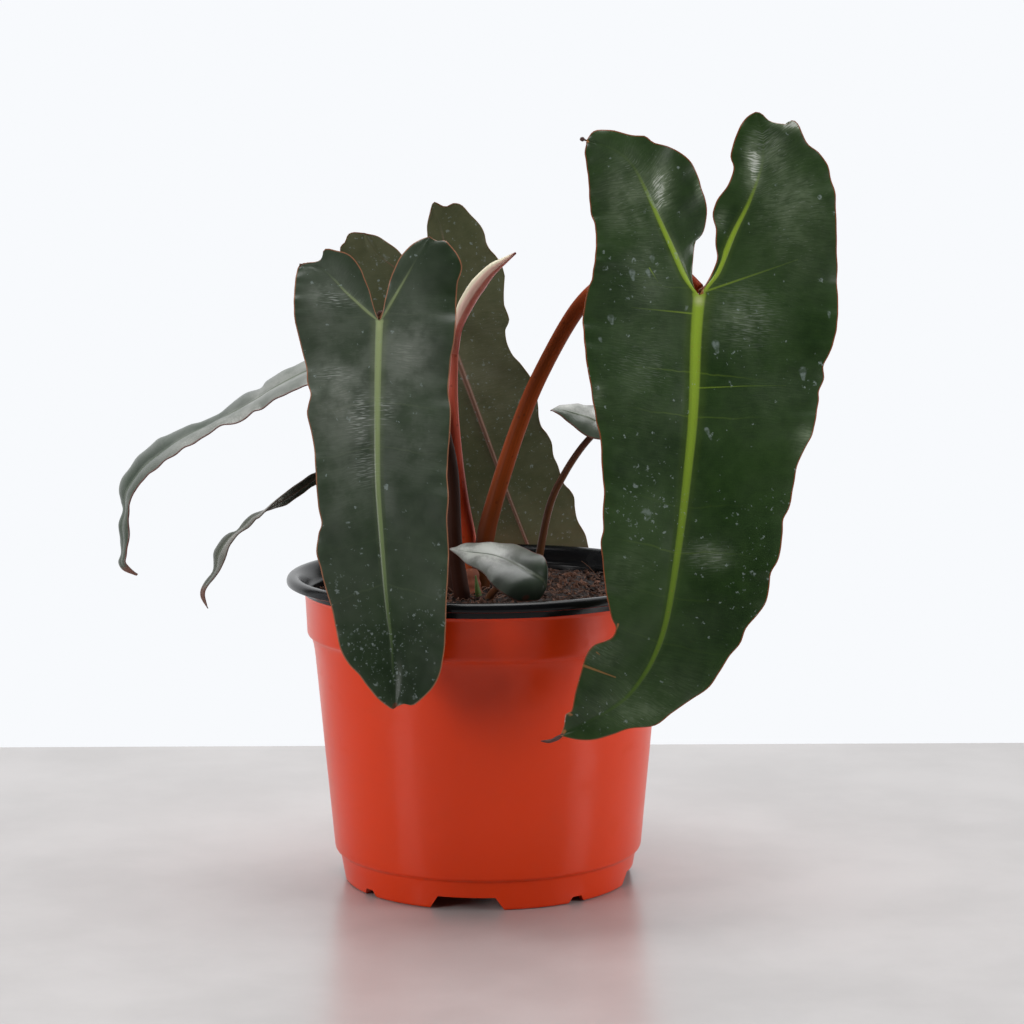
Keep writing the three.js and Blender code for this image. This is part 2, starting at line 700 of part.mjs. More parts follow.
for (const [name, leaf] of Object.entries(BLADES)) {
  addPiece(name, blade(leaf), leaf.material);
}

// The middle of the whole plant's footprint stands over the origin.
const box = new THREE.Box3().setFromObject(plant);
const middle = box.getCenter(new THREE.Vector3());
plant.position.set(-middle.x, -middle.y, 0);

const pottedPlant = new THREE.Group();
pottedPlant.add(plant);
export default pottedPlant;
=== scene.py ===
"""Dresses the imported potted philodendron: pot, soil, stems, leaf blades, rolled new leaf and soil litter.

Lengths in the tables are millimetres from the pot's axis and the table, as they are read off the plant.
Everything that is built is in metres in the row's frame.
"""

import logging
import math
from collections.abc import Callable
from dataclasses import dataclass, field
from enum import Enum
from functools import reduce
from typing import Any, Protocol

import bpy
import numpy as np
from mathutils import Matrix, Vector, noise


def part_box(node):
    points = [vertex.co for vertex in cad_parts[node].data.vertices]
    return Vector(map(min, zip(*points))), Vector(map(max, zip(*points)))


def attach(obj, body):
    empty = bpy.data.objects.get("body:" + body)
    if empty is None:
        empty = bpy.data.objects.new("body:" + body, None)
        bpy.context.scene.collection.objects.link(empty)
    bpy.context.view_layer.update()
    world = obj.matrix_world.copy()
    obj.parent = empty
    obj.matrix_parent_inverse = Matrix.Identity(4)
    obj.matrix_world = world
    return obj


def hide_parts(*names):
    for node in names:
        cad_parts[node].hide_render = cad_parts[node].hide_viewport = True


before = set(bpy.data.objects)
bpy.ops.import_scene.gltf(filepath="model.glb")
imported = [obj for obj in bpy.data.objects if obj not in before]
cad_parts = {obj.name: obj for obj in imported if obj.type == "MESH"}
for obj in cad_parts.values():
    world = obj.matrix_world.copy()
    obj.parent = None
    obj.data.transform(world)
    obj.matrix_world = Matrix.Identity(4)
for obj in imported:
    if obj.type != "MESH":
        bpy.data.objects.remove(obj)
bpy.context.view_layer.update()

LOG = logging.getLogger("potted_philodendron")
MM = 0.001
BODY = "root"
LINE_STEPS = 40

Piece = bpy.types.Object
Socket = bpy.types.NodeSocket
Colour = tuple[float, float, float]
Flat = list[tuple[float, float]]
Place = tuple[float, float, float]
Places = list[Place]
Spot = tuple[float, float, float, float]  # its place, its reach and its strength
Oval = tuple[float, float, float, float, float]  # its place, its two reaches and its strength
Stroke = tuple[float, float, float, float, float]  # its two ends and its half width


def pot_axis() -> np.ndarray:
    """Gives where the pot's axis meets the table, in millimetres of the row's frame."""
    low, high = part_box("nursery_pot")
    return np.array([(low.x + high.x) / 2, (low.y + high.y) / 2, 0.0]) / MM


AXIS = pot_axis()


class Slot(Enum):
    """The record's material slots."""

    POT = "pot_plastic"
    SOIL = "soil"
    LEAF = "leaf_green"
    ORANGE = "petiole_orange"
    RED = "petiole_red"
    BROWN = "petiole_brown"
    SPEAR = "spear_pink"
    SHOOT = "shoot_green"


def srgb(red: float, green: float, blue: float) -> Colour:
    """Turns a colour of 0 to 255 parts into the linear parts that shaders read."""
    shares = (part / 255 for part in (red, green, blue))
    return tuple(s / 12.92 if s <= 0.04045 else ((s + 0.055) / 1.055) ** 2.4 for s in shares)


def rgba(colour: Colour) -> tuple[float, float, float, float]:
    """Adds a full last part to a colour, as a colour socket wants it."""
    return (*colour, 1.0)


# Smooth lines and surfaces


def smooth_through(points: Any, per_span: int, reflected: bool) -> tuple[np.ndarray, np.ndarray]:
    """Reads a smooth curve through points at even steps.

    Args:
        points: the points that the curve passes.
        per_span: steps between two neighbouring points.
        reflected: True carries the curve's ends on straight, False lets them ease off.

    Returns:
        The curve's places and its directions, one row for each step.
    """
    p = np.asarray(points, float)
    first, last = (2 * p[0] - p[1], 2 * p[-1] - p[-2]) if reflected else (p[0], p[-1])
    around = np.vstack([first, p, last])
    places, ways = [], []
    for i in range(len(p) - 1):
        a, b, c, d = around[i:i + 4]
        t = np.linspace(0, 1, per_span, endpoint=False)[:, None]
        if i == len(p) - 2:
            t = np.linspace(0, 1, per_span + 1)[:, None]
        va, vb = (c - a) / 2, (d - b) / 2
        cubic, square = 2 * b - 2 * c + va + vb, 3 * c - 3 * b - 2 * va - vb
        places.append(cubic * t**3 + square * t**2 + va * t + b)
        ways.append(3 * cubic * t**2 + 2 * square * t + va)
    return np.vstack(places), np.vstack(ways)


class SmoothLine:
    """A smooth line through points, read by its share of the length."""

    def __init__(self, points: Any, reflected: bool = False) -> None:
        """Measures the line.

        Args:
            points: the points that it passes.
            reflected: True carries its ends on straight.
        """
        self.places, self.ways = smooth_through(points, LINE_STEPS, reflected)
        steps = np.linalg.norm(np.diff(self.places, axis=0), axis=1)
        self.lengths = np.concatenate([[0.0], np.cumsum(steps)])
        self.length = float(self.lengths[-1])

    def at(self, share: np.ndarray) -> np.ndarray:
        """Gives the line's places at these shares of its length."""
        return read_rows(np.clip(share, 0, 1) * self.length, self.lengths, self.places)

    def run(self, share: np.ndarray) -> tuple[np.ndarray, np.ndarray]:
        """Gives the line's places and its ways, each of length one, at these shares of its length."""
        return self.at(share), unit(read_rows(share * self.length, self.lengths, self.ways))


def read_rows(wanted: np.ndarray, known: np.ndarray, rows: np.ndarray) -> np.ndarray:
    """Interpolates each column of rows, which belong to known, at the wanted values."""
    return np.stack([np.interp(wanted, known, rows[:, k]) for k in range(rows.shape[1])], axis=-1)


def unit(vectors: np.ndarray) -> np.ndarray:
    """Gives the vectors at a length of one."""
    return vectors / np.maximum(np.linalg.norm(vectors, axis=-1, keepdims=True), 1e-12)


def ease(value: np.ndarray, low: float, high: float) -> np.ndarray:
    """Goes smoothly from 0 at low to 1 at high."""
    share = np.clip((np.asarray(value, float) - low) / (high - low), 0, 1)
    return share * share * (3 - 2 * share)


class Ribbon:
    """A route in space with the way that a blade's upper side faces along it."""

    def __init__(self, route: Places, faces: Places, sinus_index: int) -> None:
        """Measures the ribbon.

        Args:
            route: points from the lobes' end to the tip.
            faces: the way the upper side faces at each of them.
            sinus_index: which point is the sinus, where lengths start.
        """
        self.line = SmoothLine(route, reflected=True)
        self.facing = smooth_through(faces, LINE_STEPS, True)[0]
        self.before = float(self.line.lengths[LINE_STEPS * sinus_index])

    def frame(self, along: np.ndarray) -> tuple[np.ndarray, np.ndarray, np.ndarray]:
        """Reads the ribbon, which runs on straight past its ends.

        Args:
            along: lengths from the sinus.

        Returns:
            The ribbon's points, its ways across and its normals.
        """
        line = self.line
        distance = along + self.before
        inside = np.clip(distance, 0.004 * line.length, 0.996 * line.length)
        tangent = unit(read_rows(inside, line.lengths, line.ways))
        point = read_rows(inside, line.lengths, line.places) + tangent * (distance - inside)[..., None]
        across = unit(np.cross(read_rows(inside, line.lengths, self.facing), tangent))
        return point, across, np.cross(tangent, across)


# Meshes


def clear_selection() -> None:
    """Leaves edit mode and deselects everything."""
    if bpy.context.object is not None and bpy.context.object.mode != "OBJECT":
        bpy.ops.object.mode_set(mode="OBJECT")
    bpy.ops.object.select_all(action="DESELECT")


def pick(*pieces: Piece) -> None:
    """Selects these pieces alone.

    Args:
        pieces: the pieces, the active one first.
    """
    clear_selection()
    for piece in pieces:
        piece.select_set(True)
    bpy.context.view_layer.objects.active = pieces[0]


def sheet_of(name: str, places: np.ndarray, flat: np.ndarray | None = None) -> Piece:
    """Adds a grid and lays its points in space.

    Args:
        name: the piece's name.
        places: points in metres, rows by columns by 3. The faces look along columns x rows.
        flat: the pattern place of each point, rows by columns by 2, or None for the grid's own.

    Returns:
        The new piece, at the origin.
    """
    rows, columns = places.shape[:2]
    clear_selection()
    bpy.ops.mesh.primitive_grid_add(x_subdivisions=columns - 1, y_subdivisions=rows - 1, size=2)
    piece = bpy.context.object
    piece.name = piece.data.name = name
    mesh = piece.data
    mesh.vertices.foreach_set("co", places.reshape(-1, 3).astype(np.float32).ravel())
    if flat is not None:
        corners = np.zeros(len(mesh.loops), np.int32)
        mesh.loops.foreach_get("vertex_index", corners)
        pattern = flat.reshape(-1, 2)[corners].astype(np.float32)
        mesh.uv_layers.active.data.foreach_set("uv", pattern.ravel())
    mesh.update()
    return piece


def measure(piece: Piece, name: str, values: np.ndarray) -> None:
    """Writes one number for each of the piece's points, which its finish reads by name."""
    attribute = piece.data.attributes.new(name, "FLOAT", "POINT")
    attribute.data.foreach_set("value", values.astype(np.float32).ravel())


def joined(name: str, pieces: list[Piece]) -> Piece:
    """Joins pieces.

    Args:
        name: the joined piece's name.
        pieces: the pieces.

    Returns:
        The joined piece.
    """
    pick(*pieces)
    bpy.ops.object.join()
    piece = bpy.context.object
    piece.name = piece.data.name = name
    return piece


def mesh_piece(name: str, points: np.ndarray, faces: list[Any]) -> Piece:
    """Makes a piece of many small shapes.

    Args:
        name: the piece's name.
        points: points in millimetres from the pot's axis.
        faces: the points of each face, by number.

    Returns:
        The piece, with its faces outwards.
    """
    mesh = bpy.data.meshes.new(name)
    mesh.from_pydata(((points + AXIS) * MM).tolist(), [], faces)
    piece = bpy.data.objects.new(name, mesh)
    bpy.context.scene.collection.objects.link(piece)
    face_out(piece)
    return piece


def reshape(piece: Piece, operator: Callable[..., Any], **options: Any) -> None:
    """Runs an edit operator on the whole of a piece.

    Args:
        piece: the piece.
        operator: the operator.
        options: the operator's own options.
    """
    pick(piece)
    bpy.ops.object.mode_set(mode="EDIT")
    bpy.ops.mesh.select_all(action="SELECT")
    operator(**options)
    bpy.ops.object.mode_set(mode="OBJECT")


def weld(piece: Piece, distance: float = 2e-6) -> None:
    """Merges the piece's points that lie together."""
    reshape(piece, bpy.ops.mesh.remove_doubles, threshold=distance)


def face_out(piece: Piece) -> None:
    """Turns the faces of a closed piece outwards."""
    reshape(piece, bpy.ops.mesh.normals_make_consistent, inside=False)


def apply_modifiers(piece: Piece) -> None:
    """Applies the piece's modifiers in their order.

    Args:
        piece: the piece.
    """
    pick(piece)
    for modifier in list(piece.modifiers):
        bpy.ops.object.modifier_apply(modifier=modifier.name)


def smooth(piece: Piece, degrees: float) -> None:
    """Shades the piece smooth but for edges sharper than this."""
    pick(piece)
    bpy.ops.object.shade_smooth_by_angle(angle=math.radians(degrees))


def settle(piece: Piece, slot: Slot, materials: list[bpy.types.Material], *nodes: str) -> Piece:
    """Gives a finished piece its looks and its place in the model.

    Args:
        piece: the piece.
        slot: the record's slot that its finish belongs to. It is not used.
        materials: its materials, where it hasn't got them yet.
        nodes: the CAD nodes that it stands for.

    Returns:
        The same piece.
    """
    for material in materials:
        piece.data.materials.append(material)
    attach(piece, BODY)
    if nodes:
        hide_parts(*nodes)
    return piece


def rings(
    centre: np.ndarray, ways: tuple[np.ndarray, np.ndarray], reach: np.ndarray, angle: np.ndarray
) -> np.ndarray:
    """Lays rings of points round a line.

    Args:
        centre: the rings' middles.
        ways: the ways that the angles 0 and a quarter turn look at each middle.
        reach: how far the points lie off the middle, rows by columns.
        angle: the points' angles.

    Returns:
        The points, rows by columns by 3.
    """
    first, quarter = (way[:, None, :] for way in ways)
    points = centre[:, None, :] + first * (reach * np.cos(angle))[..., None]
    return points + quarter * (reach * np.sin(angle))[..., None]


def rounded_tube(
    name: str,
    route: Any,
    radii: list[float],
    steps: int,
    sides: int,
    section: Callable[[np.ndarray, np.ndarray], np.ndarray],
) -> Piece:
    """Builds a round limb along a route, closed by a dome at each end.

    Args:
        name: the piece's name.
        route: points in millimetres from root to end.
        radii: radii in millimetres, spread evenly over the length.
        steps: rows along the length.
        sides: points around.
        section: a function of the angle and the share of length that scales the radius.

    Returns:
        The piece, with its share of length and its angle's share as pattern places.
    """
    line = SmoothLine(route, reflected=True)
    dome = np.array([1.0, 0.94, 0.78, 0.5, 0.0])
    lift = np.array([0.0, 0.3, 0.58, 0.82, 0.96]) * 0.55
    shares = np.linspace(0, 1, steps + 1)
    rows = np.concatenate([np.zeros(4), shares, np.ones(4)])
    scale = np.concatenate([dome[:0:-1], np.ones(steps + 1), dome[1:]])
    shift = np.concatenate([-lift[:0:-1], np.zeros(steps + 1), lift[1:]])
    centre, tangent = line.run(rows)
    side = np.zeros_like(centre)
    side[0] = unit(np.cross(tangent[0], [0.0, 1.0, 0.0]))
    for i in range(1, len(rows)):
        side[i] = unit(side[i - 1] - tangent[i] * np.dot(side[i - 1], tangent[i]))
    radius = np.interp(rows * (len(radii) - 1), np.arange(len(radii)), radii)
    angle = np.linspace(0, 2 * math.pi, sides + 1)
    reach = (radius * scale)[:, None] * section(angle[None, :], rows[:, None])
    middle = centre + tangent * (shift * radius)[:, None]
    places = rings(middle, (side, np.cross(tangent, side)), reach, angle)
    pattern = np.stack(np.broadcast_arrays(angle[None, :] / (2 * math.pi), rows[:, None]), axis=-1)
    piece = sheet_of(name, (places + AXIS) * MM, pattern)
    measure(piece, "share", np.repeat(rows, sides + 1))
    weld(piece)
    face_out(piece)
    smooth(piece, 70)
    return piece

# Finishes

# The colours of painted highlights and painted glints on the leaves
HIGHLIGHT = srgb(204, 208, 200)
GLINT = srgb(188, 194, 188)
VEIN_JOINT = srgb(206, 206, 168)
FRECKLE = srgb(40, 16, 12)
BRANCH_GAP = 0.0185
DROP_SIZES = (
    (110.0, 0.17, 0.14, 0.12, 0.6), (260.0, 0.2, 0.15, 0.36, 0.9), (420.0, 0.17, 0.17, 0.7, 1.0),
    (700.0, 0.0, 0.34, 0.7, 0.9),
)


class Wiring:
    """Adds and joins the nodes of one material or one node group. A value is a number, a colour or a socket."""

    def __init__(self, tree: bpy.types.NodeTree) -> None:
        """Takes the tree that the nodes go into."""
        self.tree = tree

    def feed(self, socket: Socket, value: Any) -> None:
        """Joins an input to a socket, or sets the input's own value.

        Args:
            socket: the input.
            value: the socket or the value.
        """
        if isinstance(value, Socket):
            self.tree.links.new(value, socket)
        else:
            socket.default_value = value

    def numbered(self, kind: str, settings: dict[str, Any], values: dict[int, Any]) -> Any:
        """Adds a node whose inputs are known by their numbers.

        Args:
            kind: the node's type name, without its leading ShaderNode.
            settings: values of the node's own properties.
            values: values for its inputs.

        Returns:
            Its outputs.
        """
        made = self.node(kind, settings)
        for number, value in values.items():
            self.feed(made.inputs[number], value)
        return made.outputs

    def node(self, kind: str, settings: dict[str, Any] | None = None, **inputs: Any) -> bpy.types.Node:
        """Adds a node.

        Args:
            kind: the node's type name, without its leading ShaderNode.
            settings: values of the node's own properties.
            inputs: values for its inputs, spaces in their names written as _.

        Returns:
            The new node.
        """
        made = self.tree.nodes.new("ShaderNode" + kind)
        for key, value in (settings or {}).items():
            setattr(made, key, value)
        for key, value in inputs.items():
            self.feed(made.inputs[key.replace("_", " ")], value)
        return made

    def maths(self, operation: str, a: Any, b: Any = 0.5, clamp: bool = False) -> Socket:
        """Adds a Math node and gives its result, which clamp keeps within 0 and 1."""
        return self.numbered("Math", {"operation": operation, "use_clamp": clamp}, {0: a, 1: b})[0]

    def times(self, a: Any, b: Any) -> Socket:
        """Multiplies two values."""
        return self.maths("MULTIPLY", a, b)

    def plus(self, first: Any, *others: Any, clamp: bool = False) -> Any:
        """Adds up values and gives their sum, which clamp keeps within 0 and 1."""
        return reduce(lambda total, part: self.maths("ADD", total, part, clamp), others, first)

    def vector(self, operation: str, a: Any, b: Any) -> Socket:
        """Adds a Vector Math node and gives its result, a number for a dot product or a distance."""
        made = self.numbered("VectorMath", {"operation": operation}, {0: a, 1: b})
        return made["Value" if operation in ("DOT_PRODUCT", "DISTANCE") else "Vector"]

    def span(self, value: Any, low: float, high: float, first: float = 0.0, last: float = 1.0) -> Socket:
        """Maps the range from low to high smoothly onto the range from first to last."""
        limits = {"From_Min": low, "From_Max": high, "To_Min": first, "To_Max": last}
        return self.node("MapRange", {"interpolation_type": "SMOOTHSTEP"}, Value=value, **limits).outputs[0]

    def mix(self, share: Any, a: Any, b: Any) -> Socket:
        """Mixes two colours by the second one's share."""
        first, second = (rgba(colour) if isinstance(colour, tuple) else colour for colour in (a, b))
        return self.numbered("Mix", {"data_type": "RGBA"}, {0: share, 6: first, 7: second})[2]

    def layered(self, skin: Any, *layers: tuple[Any, Any]) -> Any:
        """Lays colours over a lowest one, each layer given by its share and its colour."""
        return reduce(lambda below, layer: self.mix(layer[0], below, layer[1]), layers, skin)

    def speckle(self, place: Any, scale: float, detail: float = 3.0, rough: float = 0.55) -> Socket:
        """Adds cloudy noise, with scale clouds to a metre, and gives its value."""
        return self.node("TexNoise", None, Vector=place, Scale=scale, Detail=detail, Roughness=rough).outputs["Fac"]

    def fibres(self, place: Any, scale: Colour, detail: float = 3.0, rough: float = 0.55) -> Socket:
        """Adds drawn-out noise, as speckle does, with its own scale along each axis."""
        return self.speckle(self.node("Mapping", None, Vector=place, Scale=scale).outputs[0], 1.0, detail, rough)

    def value_of(self, name: str) -> Socket:
        """Reads a number that the piece's points carry."""
        return self.node("Attribute", {"attribute_name": name}).outputs["Fac"]

    def object_place(self) -> Socket:
        """Gives the place in the row's frame."""
        return self.node("TexCoord").outputs["Object"]

    def pattern_place(self) -> Socket:
        """Gives the place on the piece's own flat pattern."""
        return self.node("TexCoord").outputs["UV"]

    def flat_place(self, x: Any, y: Any) -> Socket:
        """Makes a flat place of two numbers."""
        return self.node("CombineXYZ", None, X=x, Y=y, Z=0.0).outputs[0]

    def group(self, tree: bpy.types.NodeTree, **inputs: Any) -> Any:
        """Places a node group with its own values and gives its outputs."""
        return self.node("Group", {"node_tree": tree}, **inputs).outputs

    def bumped(self, height: Any, strength: float, distance: float, **under: Any) -> Socket:
        """Adds a Bump node, over the Normal of a coarser relief where one is given, and gives its normal."""
        return self.node("Bump", None, Height=height, Strength=strength, Distance=distance, **under).outputs[0]

    def dress(
        self, shader: bpy.types.Node, skin: Any, rough: Any, normal: Any = None, gloss: float | None = None
    ) -> None:
        """Joins a finish to its main shader.

        Args:
            shader: the shader.
            skin: the colour.
            rough: the roughness.
            normal: the normal, where there is relief.
            gloss: the strength of reflections, where it isn't the usual one.
        """
        wanted = {"Base Color": skin, "Roughness": rough, "Normal": normal, "Specular IOR Level": gloss}
        for key, value in wanted.items():
            if value is not None:
                self.feed(shader.inputs[key], value)

def new_group(name: str, inputs: dict[str, float], outputs: list[str]) -> tuple[bpy.types.NodeTree, Wiring, Any, Any]:
    """Starts a node group.

    Args:
        name: the group's name.
        inputs: number inputs and their usual values. Place is always the first input.
        outputs: number outputs.

    Returns:
        The group, its wiring, and its input and output nodes.
    """
    tree = bpy.data.node_groups.new(name, "ShaderNodeTree")
    tree.interface.new_socket("Place", in_out="INPUT", socket_type="NodeSocketVector")
    for key, value in inputs.items():
        tree.interface.new_socket(key, in_out="INPUT", socket_type="NodeSocketFloat").default_value = value
    for key in outputs:
        tree.interface.new_socket(key, in_out="OUTPUT", socket_type="NodeSocketFloat")
    return tree, Wiring(tree), tree.nodes.new("NodeGroupInput"), tree.nodes.new("NodeGroupOutput")


def wrinkles_group() -> bpy.types.NodeTree:
    """Fine wrinkles and faint branch veins that run from the midrib to the margin.

    Place is the blade's flat pattern in metres: x from the vein, y along it.

    Returns:
        The node group.
    """
    tree, w, start, end = new_group("leaf_wrinkles", {}, ["Height", "Branch", "Streak"])
    place = start.outputs["Place"]
    parts = w.node("SeparateXYZ", None, Vector=place).outputs
    arch = w.times(w.maths("POWER", w.maths("MAXIMUM", parts["X"], 0.0), 1.4), -0.3)
    shifted = w.plus(parts["Y"], arch, w.times(w.speckle(place, 48.0), 0.006))
    bent = w.flat_place(parts["X"], shifted)
    fine = w.fibres(bent, (150.0, 1500.0, 1.0), 2.0, 0.5)
    broad = w.fibres(bent, (60.0, 420.0, 1.0), 2.0, 0.5)
    patch = w.span(w.speckle(place, 60.0, 2.0), 0.4, 0.66, 0.25, 1.0)
    w.feed(end.inputs["Height"], w.times(w.plus(w.times(fine, 0.55), w.times(broad, 0.45)), patch))
    w.feed(end.inputs["Streak"], w.span(fine, 0.36, 0.64))
    number = w.maths("FLOOR", w.plus(w.maths("DIVIDE", shifted, BRANCH_GAP), 0.5))
    line = w.span(w.maths("PINGPONG", shifted, BRANCH_GAP / 2), 0.0005, 0.00012)
    fade = w.span(parts["X"], 0.034, 0.002)
    chance = w.node("TexWhiteNoise", {"noise_dimensions": "1D"}, W=number)
    strength = w.span(chance.outputs["Value"], 0.3, 1.0)
    w.feed(end.inputs["Branch"], w.times(w.times(line, fade), strength))
    return tree


def water_marks_group() -> bpy.types.NodeTree:
    """Dried drops: pale torn blots with a brighter rim, and specks. Amount says how many.

    Returns:
        The node group.
    """
    tree, w, start, end = new_group("water_marks", {"Amount": 0.5}, ["Mask"])
    place = start.outputs["Place"]
    bend = w.node("TexNoise", None, Vector=place, Scale=700.0, Detail=2.0)
    pushed = {0: bend.outputs["Color"], 1: (0.0022, 0.0022, 0.0022), 2: place}
    push = w.numbered("VectorMath", {"operation": "MULTIPLY_ADD"}, pushed)["Vector"]
    most: Any = 0.0
    for scale, ring, width, often, weight in DROP_SIZES:
        cells = w.node("TexVoronoi", None, Vector=push, Scale=scale, Randomness=1.0)
        chosen = w.node("SeparateColor", None, Color=cells.outputs["Color"])
        near = w.maths("ABSOLUTE", w.maths("SUBTRACT", cells.outputs["Distance"], ring))
        line = w.span(near, width, 0.2 * width)
        level = w.maths("SUBTRACT", 1.0, w.times(start.outputs["Amount"], often))
        there = w.maths("GREATER_THAN", chosen.outputs[0], level)
        torn = w.span(w.speckle(place, scale * 1.9, 2.0), 0.46, 0.6)
        most = w.maths("MAXIMUM", most, w.times(w.times(w.times(line, there), torn), weight))
    w.feed(end.inputs["Mask"], most)
    return tree


def mottle_group() -> bpy.types.NodeTree:
    """Cloudy unevenness in two sizes, as one value.

    Returns:
        The node group.
    """
    tree, w, start, end = new_group("mottle", {"Scale": 40.0}, ["Value"])
    place, scale = start.outputs["Place"], start.outputs["Scale"]
    broad = w.node("TexNoise", None, Vector=place, Scale=scale, Detail=3.0).outputs["Fac"]
    small = w.node("TexNoise", None, Vector=place, Scale=w.times(scale, 7.0), Detail=2.0).outputs["Fac"]
    w.feed(end.inputs["Value"], w.span(w.plus(w.times(broad, 0.7), w.times(small, 0.3)), 0.3, 0.7))
    return tree


def stroke_group() -> bpy.types.NodeTree:
    """One drawn line from X0, Y0 to X1, Y1 that narrows to its far end. Place is the blade's flat drawing.

    Returns:
        The node group.
    """
    numbers = {"X0": 0.0, "Y0": 0.0, "X1": 1.0, "Y1": 0.0, "Half": 0.5}
    tree, w, start, end = new_group("stroke", numbers, ["Mask", "Share"])
    near = w.flat_place(start.outputs["X0"], start.outputs["Y0"])
    far = w.flat_place(start.outputs["X1"], start.outputs["Y1"])
    way = w.vector("SUBTRACT", far, near)
    gap = w.vector("SUBTRACT", start.outputs["Place"], near)
    share = w.maths("DIVIDE", w.vector("DOT_PRODUCT", gap, way), w.vector("DOT_PRODUCT", way, way), clamp=True)
    foot = w.node("CombineXYZ", None, X=share, Y=share, Z=share).outputs[0]
    off = w.vector("DISTANCE", gap, w.vector("MULTIPLY", way, foot))
    half = w.times(start.outputs["Half"], w.span(share, 0.0, 1.0, 1.0, 0.5))
    w.feed(end.inputs["Mask"], w.span(w.maths("DIVIDE", off, half), 1.0, 0.4))
    w.feed(end.inputs["Share"], share)
    return tree


WRINKLES = wrinkles_group()
STROKE = stroke_group()
WATER_MARKS = water_marks_group()
MOTTLE = mottle_group()


def new_material(name: str) -> tuple[bpy.types.Material, Wiring, bpy.types.Node]:
    """Starts a material.

    Args:
        name: the material's name.

    Returns:
        The material, its wiring and its main shader.
    """
    material = bpy.data.materials.new(name)
    material.use_nodes = True
    return material, Wiring(material.node_tree), material.node_tree.nodes["Principled BSDF"]


